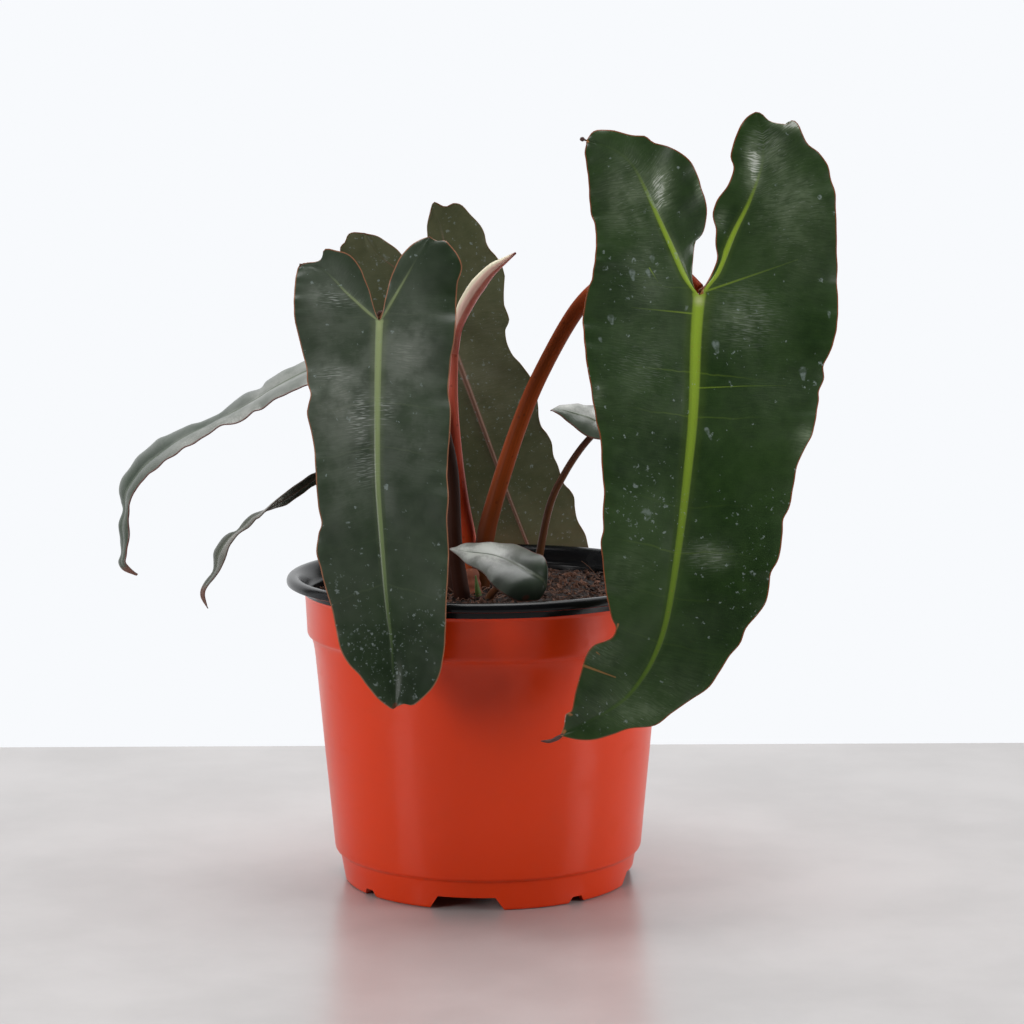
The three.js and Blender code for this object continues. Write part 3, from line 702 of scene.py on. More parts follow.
@dataclass(frozen=True)
class LeafFinish:
    """The skin of one leaf blade: two greens, the veins' colour, the margin, gloss, a painted sheen haze with painted
    highlights and glints, and water marks.
    """

    name: str
    deep: Colour
    pale: Colour
    rib: Colour
    rib_end: Colour
    margin: Colour = srgb(128, 70, 48)
    dried: Colour = srgb(84, 48, 26)
    # painted sheen: the colour of a cloudy painted haze, whose strength the next field gives, and of the painted
    # sheen ovals
    sheen_haze: Colour = srgb(128, 134, 124)
    sheen_haze_amount: float = 0.0
    rough: float = 0.3
    marks: float = 0.05
    mark_colour: Colour = srgb(150, 164, 162)
    wrinkle: float = 0.3
    gloss: float = 0.36
    halo: float = 0.14
    branches: float = 0.35
    fine: float = 1.0
    # shine scales the painted sheen that the blade's points carry
    shine: float = 1.0
    crest: Colour | None = None
    veins: tuple[Stroke, ...] = ()
    scars: tuple[Stroke, ...] = ()
    drops: tuple[Stroke, ...] = ()

    def drawn(
        self, w: Wiring, lines: tuple[Stroke, ...], fading: float, weight: float, colour: Any, torn: bool = False
    ) -> list:
        """Draws lines on the blade's flat drawing as one layer of colour.

        Args:
            w: the material's wiring.
            lines: the lines.
            fading: how much of a line is gone at its far end.
            weight: the layer's strength.
            colour: the lines' colour.
            torn: True breaks the lines up.

        Returns:
            The layer's share and colour in a list, which is empty where there are no lines.
        """
        if not lines:
            return []
        flat = w.flat_place(w.value_of("drawn_x"), w.value_of("drawn_y"))
        most: Any = 0.0
        for x0, y0, x1, y1, half in lines:
            line = w.group(STROKE, Place=flat, X0=x0, Y0=y0, X1=x1, Y1=y1, Half=half)
            mask = w.times(line["Mask"], w.span(line["Share"], 0.0, 1.0, 1.0, 1.0 - fading))
            most = w.maths("MAXIMUM", mask, most)
        if torn:
            most = w.times(most, w.span(w.speckle(w.object_place(), 520.0, 2.0), 0.34, 0.62, 0.25, 1.0))
        return [(w.times(most, weight), colour)]

    def material(self) -> bpy.types.Material:
        """Makes the skin's material.

        Returns:
            The material. It reads the blade's flat pattern and the numbers that its points carry.
        """
        material, w, shader = new_material(self.name)
        place, pattern = w.object_place(), w.pattern_place()
        wrinkles = w.group(WRINKLES, Place=pattern)
        streak = wrinkles["Streak"]
        cloud = w.group(MOTTLE, Place=place, Scale=30.0)["Value"]
        marks = w.group(WATER_MARKS, Place=place, Amount=w.plus(w.value_of("wet"), self.marks))["Mask"]
        rib_side, fade, from_margin = (w.value_of(name) for name in ("rib_side", "rib_fade", "from_margin"))
        rib = w.times(w.span(rib_side, 1.15, 0.7), fade)
        crest = w.times(w.span(rib_side, 0.75, 0.15), fade)
        halo = w.times(w.span(rib_side, 3.0, 0.9), fade)
        rib_colour = w.mix(w.value_of("length_share"), self.rib, self.rib_end)
        dry = w.span(w.value_of("dry"), 0.35, 0.8)
        freckles = w.span(w.speckle(place, 900.0, 1.0), 0.68, 0.74)
        # painted sheen: a cloudy haze, and the sheen ovals that the points carry, streaked and broken up
        sheen_haze = w.span(w.speckle(place, 26.0, 4.0, 0.6), 0.3, 0.75, 0.0, self.sheen_haze_amount)
        sheen = w.times(w.value_of("sheen"), self.shine)
        lit = w.times(sheen, w.span(streak, 0.0, 1.0, 1 - 0.45 * self.fine, 1.0))
        lit = w.times(lit, w.span(w.speckle(place, 110.0, 4.0), 0.34, 0.62, 0.4, 1.0))
        thread = w.fibres(pattern, (1300.0, 120.0, 1.0), 2.0)
        # painted glints: short bright threads where the sheen is strong and inside the glint ovals
        sparks = w.times(w.span(w.fibres(pattern, (300.0, 2600.0, 1.0), 1.0), 0.66, 0.72), sheen)
        glint_threads = w.span(w.fibres(pattern, (220.0, 1900.0, 1.0), 1.0), 0.5, 0.68)
        glint = w.maths("MAXIMUM", w.times(sparks, 0.5 * self.fine), w.times(glint_threads, w.value_of("glint")))
        skin = w.layered(
            self.deep,
            (w.times(cloud, 0.8), self.pale),
            (w.times(w.span(from_margin, 0.0045, 0.0), 0.3), self.pale),
            (w.times(wrinkles["Branch"], self.branches), rib_colour),
            (w.times(wrinkles["Height"], 0.05), self.pale),
            (w.times(streak, 0.16 * self.fine), self.pale),
            (w.span(thread, 0.5, 0.75, 0.0, 0.14 * self.fine), self.pale),
            # painted sheen haze, then painted highlights where the sheen is strong
            (w.plus(sheen_haze, lit, clamp=True), self.sheen_haze),
            (w.span(lit, 0.55, 1.2, 0.0, 0.85), HIGHLIGHT),
            (w.times(halo, self.halo), rib_colour),
            *self.drawn(w, self.veins, 0.85, 0.4, rib_colour),
            (w.times(rib, 0.72), rib_colour),
            # in the rib's colour, where the finish gives no crest colour, this is a painted highlight along the rib's
            # top
            (w.times(crest, 0.7), self.crest or rib_colour),
            (w.times(w.value_of("joint"), 0.6), VEIN_JOINT),
            # painted glints
            (glint, GLINT),
            (w.times(freckles, w.times(rib, 0.25)), self.dried),
            (w.times(w.span(from_margin, 0.00065, 0.00025), 0.85), self.margin),
            (w.times(marks, 0.5), self.mark_colour),
            (dry, self.dried),
            *self.drawn(w, self.drops, 0.0, 0.42, self.mark_colour, torn=True),
            *self.drawn(w, self.scars, 0.3, 0.8, self.dried),
        )
        rough = w.plus(self.rough, w.times(cloud, 0.1), w.times(marks, 0.2), w.times(dry, 0.2))
        relief = w.bumped(w.times(wrinkles["Height"], w.span(rib, 1.0, 0.0)), self.wrinkle, 0.00025)
        relief = w.bumped(w.speckle(place, 340.0), 0.16, 0.0003, Normal=relief)
        w.dress(shader, skin, rough, relief, self.gloss)
        return material


@dataclass(frozen=True)
class StemFinish:
    """The skin of a petiole: its colour at the root, along the middle and at the end."""

    name: str
    root: Colour
    middle: Colour
    end: Colour
    rough: float = 0.36
    freckles: float = 0.3
    gloss: float = 0.2

    def material(self) -> bpy.types.Material:
        """Makes the stem's material.

        Returns:
            The material, which reads the number share along the stem.
        """
        material, w, shader = new_material(self.name)
        place, share = w.object_place(), w.value_of("share")
        cloud = w.group(MOTTLE, Place=place, Scale=60.0)["Value"]
        streak = w.fibres(w.pattern_place(), (26.0, 1.6, 1.0))
        spots = w.node("TexVoronoi", None, Vector=place, Scale=420.0).outputs
        chosen = w.node("SeparateColor", None, Color=spots["Color"]).outputs[0]
        dots = w.times(w.span(spots["Distance"], 0.34, 0.2), w.maths("GREATER_THAN", chosen, 0.86))
        skin = w.layered(
            self.root,
            (w.span(share, 0.12, 0.42), self.middle),
            (w.span(share, 0.55, 1.0), self.end),
            (w.span(streak, 0.35, 0.7, 0.0, 0.3), self.root),
            (w.times(cloud, 0.18), self.end),
            (w.times(dots, self.freckles), FRECKLE),
        )
        rough = w.plus(self.rough, w.times(cloud, 0.1))
        w.dress(shader, skin, rough, w.bumped(streak, 0.25, 0.0004), self.gloss)
        return material


@dataclass(frozen=True)
class PotFinish:
    """One side of the pot's two-coloured plastic sheet."""

    name: str
    colour: Colour
    worn: Colour
    rough: float
    gloss: float

    def material(self) -> bpy.types.Material:
        """Makes the plastic's material.

        Returns:
            The material, with forming lines round the pot and fine scuffs.
        """
        material, w, shader = new_material(self.name)
        place = w.object_place()
        cloud = w.group(MOTTLE, Place=place, Scale=14.0)["Value"]
        lines = w.fibres(place, (2.0, 2.0, 240.0), 1.0)
        scuffs = w.span(w.fibres(place, (60.0, 60.0, 90.0), 3.0, 0.5), 0.6, 0.8)
        skin = w.layered(self.colour, (w.times(cloud, 0.22), self.worn), (w.times(scuffs, 0.2), self.worn))
        rough = w.plus(self.rough, w.times(lines, 0.04), w.times(scuffs, 0.15))
        w.dress(shader, skin, rough, w.bumped(w.speckle(place, 1500.0, 2.0), 0.05, 0.0001), self.gloss)
        return material


@dataclass(frozen=True)
class SoilFinish:
    """Damp peat and coir: dark crumbs with lighter reddish ones."""

    name: str
    dark: Colour
    light: Colour

    def material(self, toned: bool) -> bpy.types.Material:
        """Makes the soil's material.

        Args:
            toned: True reads the number tone that each crumb carries, False only a pattern.

        Returns:
            The material.
        """
        material, w, shader = new_material(self.name)
        place = w.object_place()
        grains = w.speckle(place, 420.0, 4.0, 0.7)
        clods = w.speckle(place, 110.0, 3.0)
        share = w.times(w.span(grains, 0.4, 0.72), w.span(clods, 0.3, 0.7))
        if toned:
            share = w.plus(w.times(share, 0.5), w.value_of("tone"), clamp=True)
        rough = w.span(clods, 0.2, 0.8, 0.72, 0.95)
        w.dress(shader, w.mix(share, self.dark, self.light), rough, w.bumped(grains, 0.9, 0.0012))
        return material


@dataclass(frozen=True)
class CloudyFinish:
    """A dull skin of two colours in soft clouds."""

    name: str
    dark: Colour
    light: Colour
    scale: float
    detail: float
    rough: float

    def material(self) -> bpy.types.Material:
        """Makes the material.

        Returns:
            The material.
        """
        material, w, shader = new_material(self.name)
        cloud = w.speckle(w.object_place(), self.scale, self.detail)
        w.dress(shader, w.mix(cloud, self.dark, self.light), self.rough)
        return material


# Pot


@dataclass
class NurseryPot:
    """The thermoformed pot: red-brown outside, black over the rolled rim and inside."""

    segments: int = 288
    wall: float = 1.2
    foot_radius: float = 61.6
    floor_under: float = 6.6
    floor_top: float = 8.0
    front_notch: float = -8.0
    notch_step: float = 45.0
    wide_notch: tuple[float, float, float] = (24.0, 31.0, 5.4)
    narrow_notch: tuple[float, float, float] = (4.5, 8.0, 2.6)
    drain_distance: float = 40.0
    drain_radius: float = 5.0
    black_from: float = 124.2
    outside: PotFinish = PotFinish("pot_red_plastic", srgb(225, 57, 3), srgb(212, 64, 9), 0.285, 0.36)
    inside: PotFinish = PotFinish("pot_black_plastic", srgb(11, 12, 14), srgb(26, 27, 30), 0.2, 0.26)

    def profile(self) -> Flat:
        """Gives the sheet's section as radius and height, from under the floor round to its top.

        Returns:
            The section's points in millimetres.
        """
        wall = self.wall
        foot = [
            (3.0, self.floor_under), (57.9, self.floor_under), (58.3, 6.3), (58.6, 5.6), (59.1, 0.4),
            (59.4, 0.0), (61.2, 0.0), (61.55, 0.3), (61.7, 1.0), (63.5, 11.0), (63.7, 11.7), (64.1, 12.4),
            (64.9, 12.9), (65.4, 13.3), (65.7, 13.9), (65.9, 14.8),
        ]
        outer = [
            (67.7, 35.0), (69.55, 55.0), (71.4, 76.0), (73.15, 95.5), (73.3, 97.0), (73.6, 99.5), (74.0, 102.0),
            (74.5, 103.9), (75.0, 105.1), (75.7, 105.9), (76.3, 106.4), (76.6, 107.2), (76.65, 108.6), (76.9, 114.5),
            (77.3, 122.7), (77.5, 123.5), (78.0, 123.95), (78.2, 124.4), (78.3, 127.4),
        ]
        rim = [
            (78.7, 127.7), (83.6, 127.7), (84.5, 127.8), (84.95, 128.1), (85.1, 128.6), (85.1, 129.3), (84.9, 130.1),
            (84.4, 130.8), (83.7, 131.25), (82.8, 131.45), (81.8, 131.5), (80.9, 131.3), (80.1, 130.8), (79.3, 129.8),
            (78.5, 128.4),
        ]
        inner = [
            (77.4, 126.2), (76.9, 124.9), (76.4, 124.4), (76.0, 124.0), (75.85, 123.2), (75.4, 108.4),
            (75.2, 107.2), (74.6, 105.8), (73.4, 103.0), (72.9, 100.5), (73.3 - wall, 97.5),
            (65.9 - wall, 15.2), (64.2 - wall, 13.4), (63.2 - wall, 12.0), (61.6, 8.6), (60.8, 8.05),
            (59.6, self.floor_top), (3.0, self.floor_top),
        ]
        return foot + outer + rim + inner

    def shell(self) -> Piece:
        """Turns the section round: a ring drawn out and widened from point to point.

        Returns:
            The shell, without its holes and notches.
        """
        profile = self.profile()
        (radius, height), rest = profile[0], profile[1:]
        middle = AXIS * MM
        clear_selection()
        bpy.ops.mesh.primitive_circle_add(
            vertices=self.segments, radius=radius * MM, location=(middle[0], middle[1], height * MM)
        )
        piece = bpy.context.object
        bpy.ops.object.mode_set(mode="EDIT")
        bpy.ops.mesh.select_all(action="SELECT")
        for next_radius, next_height in rest:
            lift = (next_height - height) * MM
            bpy.ops.mesh.extrude_region_move(TRANSFORM_OT_translate={"value": (0.0, 0.0, lift)})
            grow = next_radius / radius
            centre = (middle[0], middle[1], next_height * MM)
            bpy.ops.transform.resize(value=(grow, grow, 1.0), center_override=centre)
            radius, height = next_radius, next_height
        bpy.ops.mesh.merge(type="CENTER")
        bpy.ops.mesh.select_all(action="DESELECT")
        bpy.ops.mesh.select_non_manifold(
            extend=False, use_wire=False, use_multi_face=False, use_non_contiguous=False, use_verts=False
        )
        bpy.ops.mesh.merge(type="CENTER")
        bpy.ops.object.mode_set(mode="OBJECT")
        piece.name = piece.data.name = "pot_shell"
        bpy.ops.object.transform_apply(location=True, rotation=True, scale=True)
        face_out(piece)
        return piece

    def notch_cutter(self, azimuth: float, top: float, table: float, height: float) -> Piece:
        """Makes the block that cuts one notch in the foot ring.

        Args:
            azimuth: where the notch is, in degrees from the front.
            top: its width at its top.
            table: its width at the table.
            height: its height.

        Returns:
            The block.
        """
        below, depth = 2.0, 16.0
        clear_selection()
        place = (0.0, -(self.foot_radius - 2.0) * MM, (height - below) / 2 * MM)
        bpy.ops.mesh.primitive_cube_add(size=1.0, location=place)
        cutter = bpy.context.object
        cutter.scale = (top * MM, depth * MM, (height + below) * MM)
        bpy.ops.object.transform_apply(location=True, rotation=True, scale=True)
        bottom = top / 2 + (table - top) / 2 / height * (height + below)
        for vertex in cutter.data.vertices:
            if vertex.co.z < 0:
                vertex.co.x = math.copysign(bottom * MM, vertex.co.x)
        turn = Matrix.Rotation(math.radians(azimuth), 4, "Z")
        cutter.data.transform(Matrix.Translation(Vector(AXIS * MM)) @ turn)
        return cutter

    def drain_cutter(self, angle: float) -> Piece:
        """Makes the round bar that cuts one drain hole in the floor.

        Args:
            angle: where the hole is.

        Returns:
            The bar.
        """
        x, y, _ = (AXIS + self.drain_distance * np.array([math.cos(angle), math.sin(angle), 0.0])) * MM
        clear_selection()
        bpy.ops.mesh.primitive_cylinder_add(
            vertices=32, radius=self.drain_radius * MM, depth=6 * MM, location=(x, y, (self.floor_under + 0.7) * MM)
        )
        bpy.ops.object.transform_apply(location=True, rotation=True, scale=True)
        return bpy.context.object

    def cut(self, shell: Piece) -> None:
        """Cuts the notches and the drain holes.

        Args:
            shell: the whole shell.
        """
        cutters = []
        for i in range(8):
            azimuth = self.front_notch + i * self.notch_step
            sizes = self.wide_notch if i % 2 == 0 else self.narrow_notch
            cutters += [self.notch_cutter(azimuth, *sizes), self.drain_cutter(math.radians(azimuth))]
        tool = joined("pot_cutters", cutters)
        face_out(tool)
        modifier = shell.modifiers.new("openings", "BOOLEAN")
        modifier.operation, modifier.solver, modifier.object = "DIFFERENCE", "EXACT", tool
        apply_modifiers(shell)
        bpy.data.objects.remove(tool)

    def paint_sides(self, shell: Piece) -> None:
        """Gives the inner side and the rim the second material.

        Args:
            shell: the shell with its openings.
        """
        for face in shell.data.polygons:
            centre = face.center / MM - Vector(AXIS)
            outward = Vector((centre.x, centre.y, 0.0))
            over_floor = centre.z > self.floor_top - 0.2
            inner = face.normal.dot(outward) < 0 or outward.length < self.foot_radius - 0.6
            face.material_index = int((over_floor and inner) or centre.z > self.black_from)

    def build(self) -> list[Piece]:
        """Builds the pot and dresses it.

        Returns:
            The pot.
        """
        shell = self.shell()
        self.cut(shell)
        for finish in (self.outside, self.inside):
            shell.data.materials.append(finish.material())
        self.paint_sides(shell)
        smooth(shell, 38)
        return [settle(shell, Slot.POT, [], "nursery_pot")]


# Soil


@dataclass
class PottingSoil:
    """The soil in the pot, with loose crumbs and coir fibres on it."""

    level: float = 121.5
    rim_radius: float = 75.0
    rings: int = 120
    segments: int = 300
    crumbs: int = 4600
    fibres: int = 760
    seed: int = 7
    finish: SoilFinish = SoilFinish("soil_peat", srgb(23, 13, 10), srgb(82, 50, 38))
    crumb_finish: SoilFinish = SoilFinish("soil_crumb", srgb(30, 18, 13), srgb(122, 80, 60))
    fibre_finish: CloudyFinish = CloudyFinish("soil_fibre", srgb(74, 46, 34), srgb(142, 98, 74), 260.0, 2.0, 0.7)

    def relief(self, x: np.ndarray, y: np.ndarray) -> np.ndarray:
        """Gives the soil's swells over its level, in millimetres."""
        swell = 0.9 * np.sin(x / 17 + 0.6) * np.cos(y / 21 - 0.4)
        return swell + 0.7 * np.sin(x / 5.3 + y / 9.1) * np.sin(y / 4.7 - x / 11.3)

    def rough_relief(self, x: float, y: float) -> float:
        """Gives the crumbly part of the relief at one place, in millimetres."""
        crumb = noise.noise(Vector((x / 2.6, y / 2.6, 3.0))) * 1.1
        return crumb + noise.noise(Vector((x / 1.1, y / 1.1, 9.0))) * 0.55

    def top(self, x: float, y: float) -> float:
        """Gives the height of the soil's top at one place, in millimetres."""
        return self.level + float(self.relief(x, y)) + self.rough_relief(x, y)

    def body(self) -> Piece:
        """Builds the soil's closed body with a crumbly top.

        Returns:
            The body.
        """
        wall = [(0.0, 8.4), (60.4, 8.4), (61.8, 12.6), (64.3, 15.2), (71.7, 98.0), (74.8, 108.0), (75.0, 119.5)]
        radii = np.concatenate([[r for r, _ in wall], self.rim_radius * (1 - np.linspace(0, 1, self.rings + 1))])
        heights = np.concatenate([[z for _, z in wall], np.full(self.rings + 1, self.level)])
        angle = np.linspace(0, 2 * math.pi, self.segments + 1)
        x, y = radii[:, None] * np.cos(angle), radii[:, None] * np.sin(angle)
        z = heights[:, None] + np.zeros_like(x)
        top = np.arange(len(radii)) >= len(wall)
        rough = np.vectorize(self.rough_relief)(x[top], y[top])
        inside = ease(self.rim_radius - np.hypot(x[top], y[top]), 0.0, 3.0)
        z[top] += (self.relief(x[top], y[top]) + rough) * inside + 0.5 * (1 - inside) * (rough > 0)
        z[:, -1] = z[:, 0]
        piece = sheet_of("soil_body", (np.stack([x, y, z], axis=-1) + AXIS) * MM)
        weld(piece)
        face_out(piece)
        smooth(piece, 60)
        return piece

    def lumps(self, draw: np.random.Generator) -> list[tuple[np.ndarray, np.ndarray]]:
        """Dents a few balls, four plain and two finer, for the crumbs to copy.

        Args:
            draw: the random draws.

        Returns:
            Each lump's points and faces.
        """
        made = []
        for detail, often in ((1, 4), (2, 2)):
            clear_selection()
            bpy.ops.mesh.primitive_ico_sphere_add(subdivisions=detail, radius=1.0)
            ball = bpy.context.object
            points = np.array([v.co[:] for v in ball.data.vertices])
            faces = np.array([f.vertices[:] for f in ball.data.polygons])
            for _ in range(often):
                dents = 1 + 0.36 * draw.standard_normal(len(points))
                made.append((points * np.clip(dents, 0.55, 1.5)[:, None], faces))
            bpy.data.objects.remove(ball)
        return made

    def loose_crumbs(self) -> Piece:
        """Scatters uneven crumbs over the soil, each a copy of one of a few lumps.

        Returns:
            The crumbs as one piece, with the number tone.
        """
        draw = np.random.default_rng(self.seed)
        lumps = self.lumps(draw)
        points, faces, tones, count = [], [], [], 0
        for _ in range(self.crumbs):
            size = 0.45 + 1.35 * draw.random() ** 3
            lump, lump_faces = lumps[int(draw.integers(4, 6)) if size > 1.25 else int(draw.integers(0, 4))]
            reach = (self.rim_radius - 1.2) * math.sqrt(draw.random())
            way = draw.random() * 2 * math.pi
            x, y = reach * math.cos(way), reach * math.sin(way)
            turn = np.linalg.qr(draw.standard_normal((3, 3)))[0]
            if np.linalg.det(turn) < 0:
                turn[0] = -turn[0]
            shape = lump * np.array([1.25, 0.35 + 0.5 * draw.random(), 0.25 + 0.4 * draw.random()]) * size
            points.append(shape @ turn.T + np.array([x, y, self.top(x, y) + 0.25 * size]))
            faces.append(lump_faces + count)
            tones.append(np.full(len(lump), 0.9 * draw.random() ** 2))
            count += len(lump)
        piece = mesh_piece("soil_crumbs", np.vstack(points), np.vstack(faces).tolist())
        measure(piece, "tone", np.concatenate(tones))
        smooth(piece, 50)
        return piece

    def fibre_routes(self) -> list[tuple[Places, float]]:
        """Draws the coir fibres: one that stands up at the right and many that lie about.

        Returns:
            Each fibre's route and its radius.
        """
        draw = np.random.default_rng(self.seed + 1)
        routes = [([(50.5, 40, 120.0), (47.6, 43.5, 123.4), (44.6, 47.5, 126.4), (41.6, 51, 128.2)], 0.2)]
        for _ in range(self.fibres):
            reach = (self.rim_radius - 6) * math.sqrt(draw.random())
            way, turn, length = draw.random() * 2 * math.pi, draw.random() * 2 * math.pi, 1.8 + 6.5 * draw.random()
            x, y = reach * math.cos(way), reach * math.sin(way)
            bend = draw.normal(0, 0.5)
            points = []
            for k in range(4):
                step, heading = (k / 3 - 0.5) * length, turn + bend * k / 3
                px, py = x + step * math.cos(heading), y + step * math.sin(heading)
                drawn_in = min(1.0, (self.rim_radius - 1.5) / max(math.hypot(px, py), 1e-6))
                px, py = px * drawn_in, py * drawn_in
                lift = 0.5 + 1.2 * draw.random() * (1 if k in (1, 2) else 0.3)
                points.append((px, py, self.top(px, py) + lift))
            routes.append((points, 0.09 + 0.1 * draw.random()))
        return routes

    def coir(self) -> Piece:
        """Lays short curved coir fibres of three sides and seven rings on the soil.

        Returns:
            The fibres as one piece.
        """
        points, faces = [], []
        angle = 2 * math.pi * np.arange(3) / 3
        for number, (route, radius) in enumerate(self.fibre_routes()):
            centre, tangent = SmoothLine(route, reflected=True).run(np.linspace(0, 1, 7))
            side = unit(np.cross(tangent, [0.1, 0.2, 1.0]))
            thin = radius * np.concatenate([[0.3], np.ones(5), [0.3]])
            points.append(rings(centre, (side, np.cross(tangent, side)), thin[:, None], angle).reshape(-1, 3))
            first = 21 * number
            for row in range(6):
                for k in range(3):
                    a, b = first + 3 * row + k, first + 3 * row + (k + 1) % 3
                    faces.append((a, b, b + 3, a + 3))
            faces += [(first + 2, first + 1, first), (first + 18, first + 19, first + 20)]
        piece = mesh_piece("soil_fibres", np.vstack(points), faces)
        smooth(piece, 80)
        return piece

    def build(self) -> list[Piece]:
        """Builds the soil and its litter and dresses them.

        Returns:
            The soil, its crumbs and its fibres.
        """
        return [
            settle(self.body(), Slot.SOIL, [self.finish.material(toned=False)], "potting_soil"),
            settle(self.loose_crumbs(), Slot.SOIL, [self.crumb_finish.material(toned=True)]),
            settle(self.coir(), Slot.SOIL, [self.fibre_finish.material()]),
        ]


# Leaf blades


def ovals_at(flat: np.ndarray, ovals: list[Oval]) -> np.ndarray:
    """Adds up soft ovals.

    Args:
        flat: flat places in millimetres.
        ovals: the ovals.

    Returns:
        One number for each place.
    """
    total = np.zeros(flat.shape[:-1])
    for x, y, wide, high, strength in ovals:
        total += strength * np.exp(-(((flat[..., 0] - x) / wide) ** 2) - ((flat[..., 1] - y) / high) ** 2)
    return total


def spots_at(flat: np.ndarray, spots: list[Spot]) -> np.ndarray:
    """Adds up soft round spots, as ovals of one reach."""
    return ovals_at(flat, [(x, y, reach, reach, strength) for x, y, reach, strength in spots])


def streaks_at(flat: np.ndarray, streaks: list[Stroke]) -> np.ndarray:
    """Gives how near places lie to dried streaks.

    Args:
        flat: flat places in millimetres.
        streaks: the streaks.

    Returns:
        One number for each place, 1 on a streak to 0 off it.
    """
    total = np.zeros(flat.shape[:-1])
    for x0, y0, x1, y1, half in streaks:
        start, way = np.array([x0, y0]), np.array([x1 - x0, y1 - y0])
        share = np.clip(((flat - start) @ way) / max(float(way @ way), 1e-9), 0, 1)
        gap = np.linalg.norm(flat - start - share[..., None] * way, axis=-1)
        total = np.maximum(total, np.exp(-((gap / half) ** 2)))
    return total


def thicken(blade: Piece) -> None:
    """Gives a blade the thickness that its points state, with the veins standing out on the underside.

    Args:
        blade: the blade's upper side.
    """
    thick = np.zeros(len(blade.data.vertices), np.float32)
    blade.data.attributes["thick"].data.foreach_get("value", thick)
    most = float(thick.max())
    group = blade.vertex_groups.new(name="thick_share")
    for index, value in enumerate(thick / most):
        group.add([index], float(value), "REPLACE")
    modifier = blade.modifiers.new("thickness", "SOLIDIFY")
    modifier.thickness, modifier.offset = most * MM, -1.0
    modifier.vertex_group = group.name
    modifier.material_offset, modifier.material_offset_rim = 1, 0
    apply_modifiers(blade)
    blade.vertex_groups.clear()


def strip_of(
    name: str, places: np.ndarray, pattern: np.ndarray, numbers: dict[str, np.ndarray], turned: bool
) -> Piece:
    """Makes one strip of a blade.

    Args:
        name: the strip's name.
        places: points in millimetres, rows by columns by 3.
        pattern: each point's pattern place in millimetres.
        numbers: the numbers that the points carry.
        turned: True turns the strip's upper side over.

    Returns:
        The strip.
    """
    order = slice(None, None, -1) if turned else slice(None)
    piece = sheet_of(name, (places[:, order] + AXIS) * MM, (pattern * MM)[:, order])
    for key, values in numbers.items():
        spread = np.broadcast_to(values, places.shape[:2])
        measure(piece, key, np.ascontiguousarray(spread[:, order]))
    return piece


def blade_of(node: str, strips: list[Piece], finishes: tuple["LeafFinish", "LeafFinish"], gap: float) -> Piece:
    """Joins a blade's strips, thickens the blade and dresses it.

    Args:
        node: the CAD node that it stands for.
        strips: the strips.
        finishes: the finish of its upper side and of its underside.
        gap: points nearer than this, in metres, are merged.

    Returns:
        The blade.
    """
    blade = joined(node + "_skin", strips)
    weld(blade, gap)
    for finish in finishes:
        blade.data.materials.append(finish.material())
    thicken(blade)
    smooth(blade, 60)
    return settle(blade, Slot.LEAF, [], node)


@dataclass
class HalfBlade:
    """One half of a blade drawn flat, as [across, along] from the sinus, with the tip at the far end."""

    sinus: Flat
    vein: Flat
    lobe: Flat
    margin: Flat


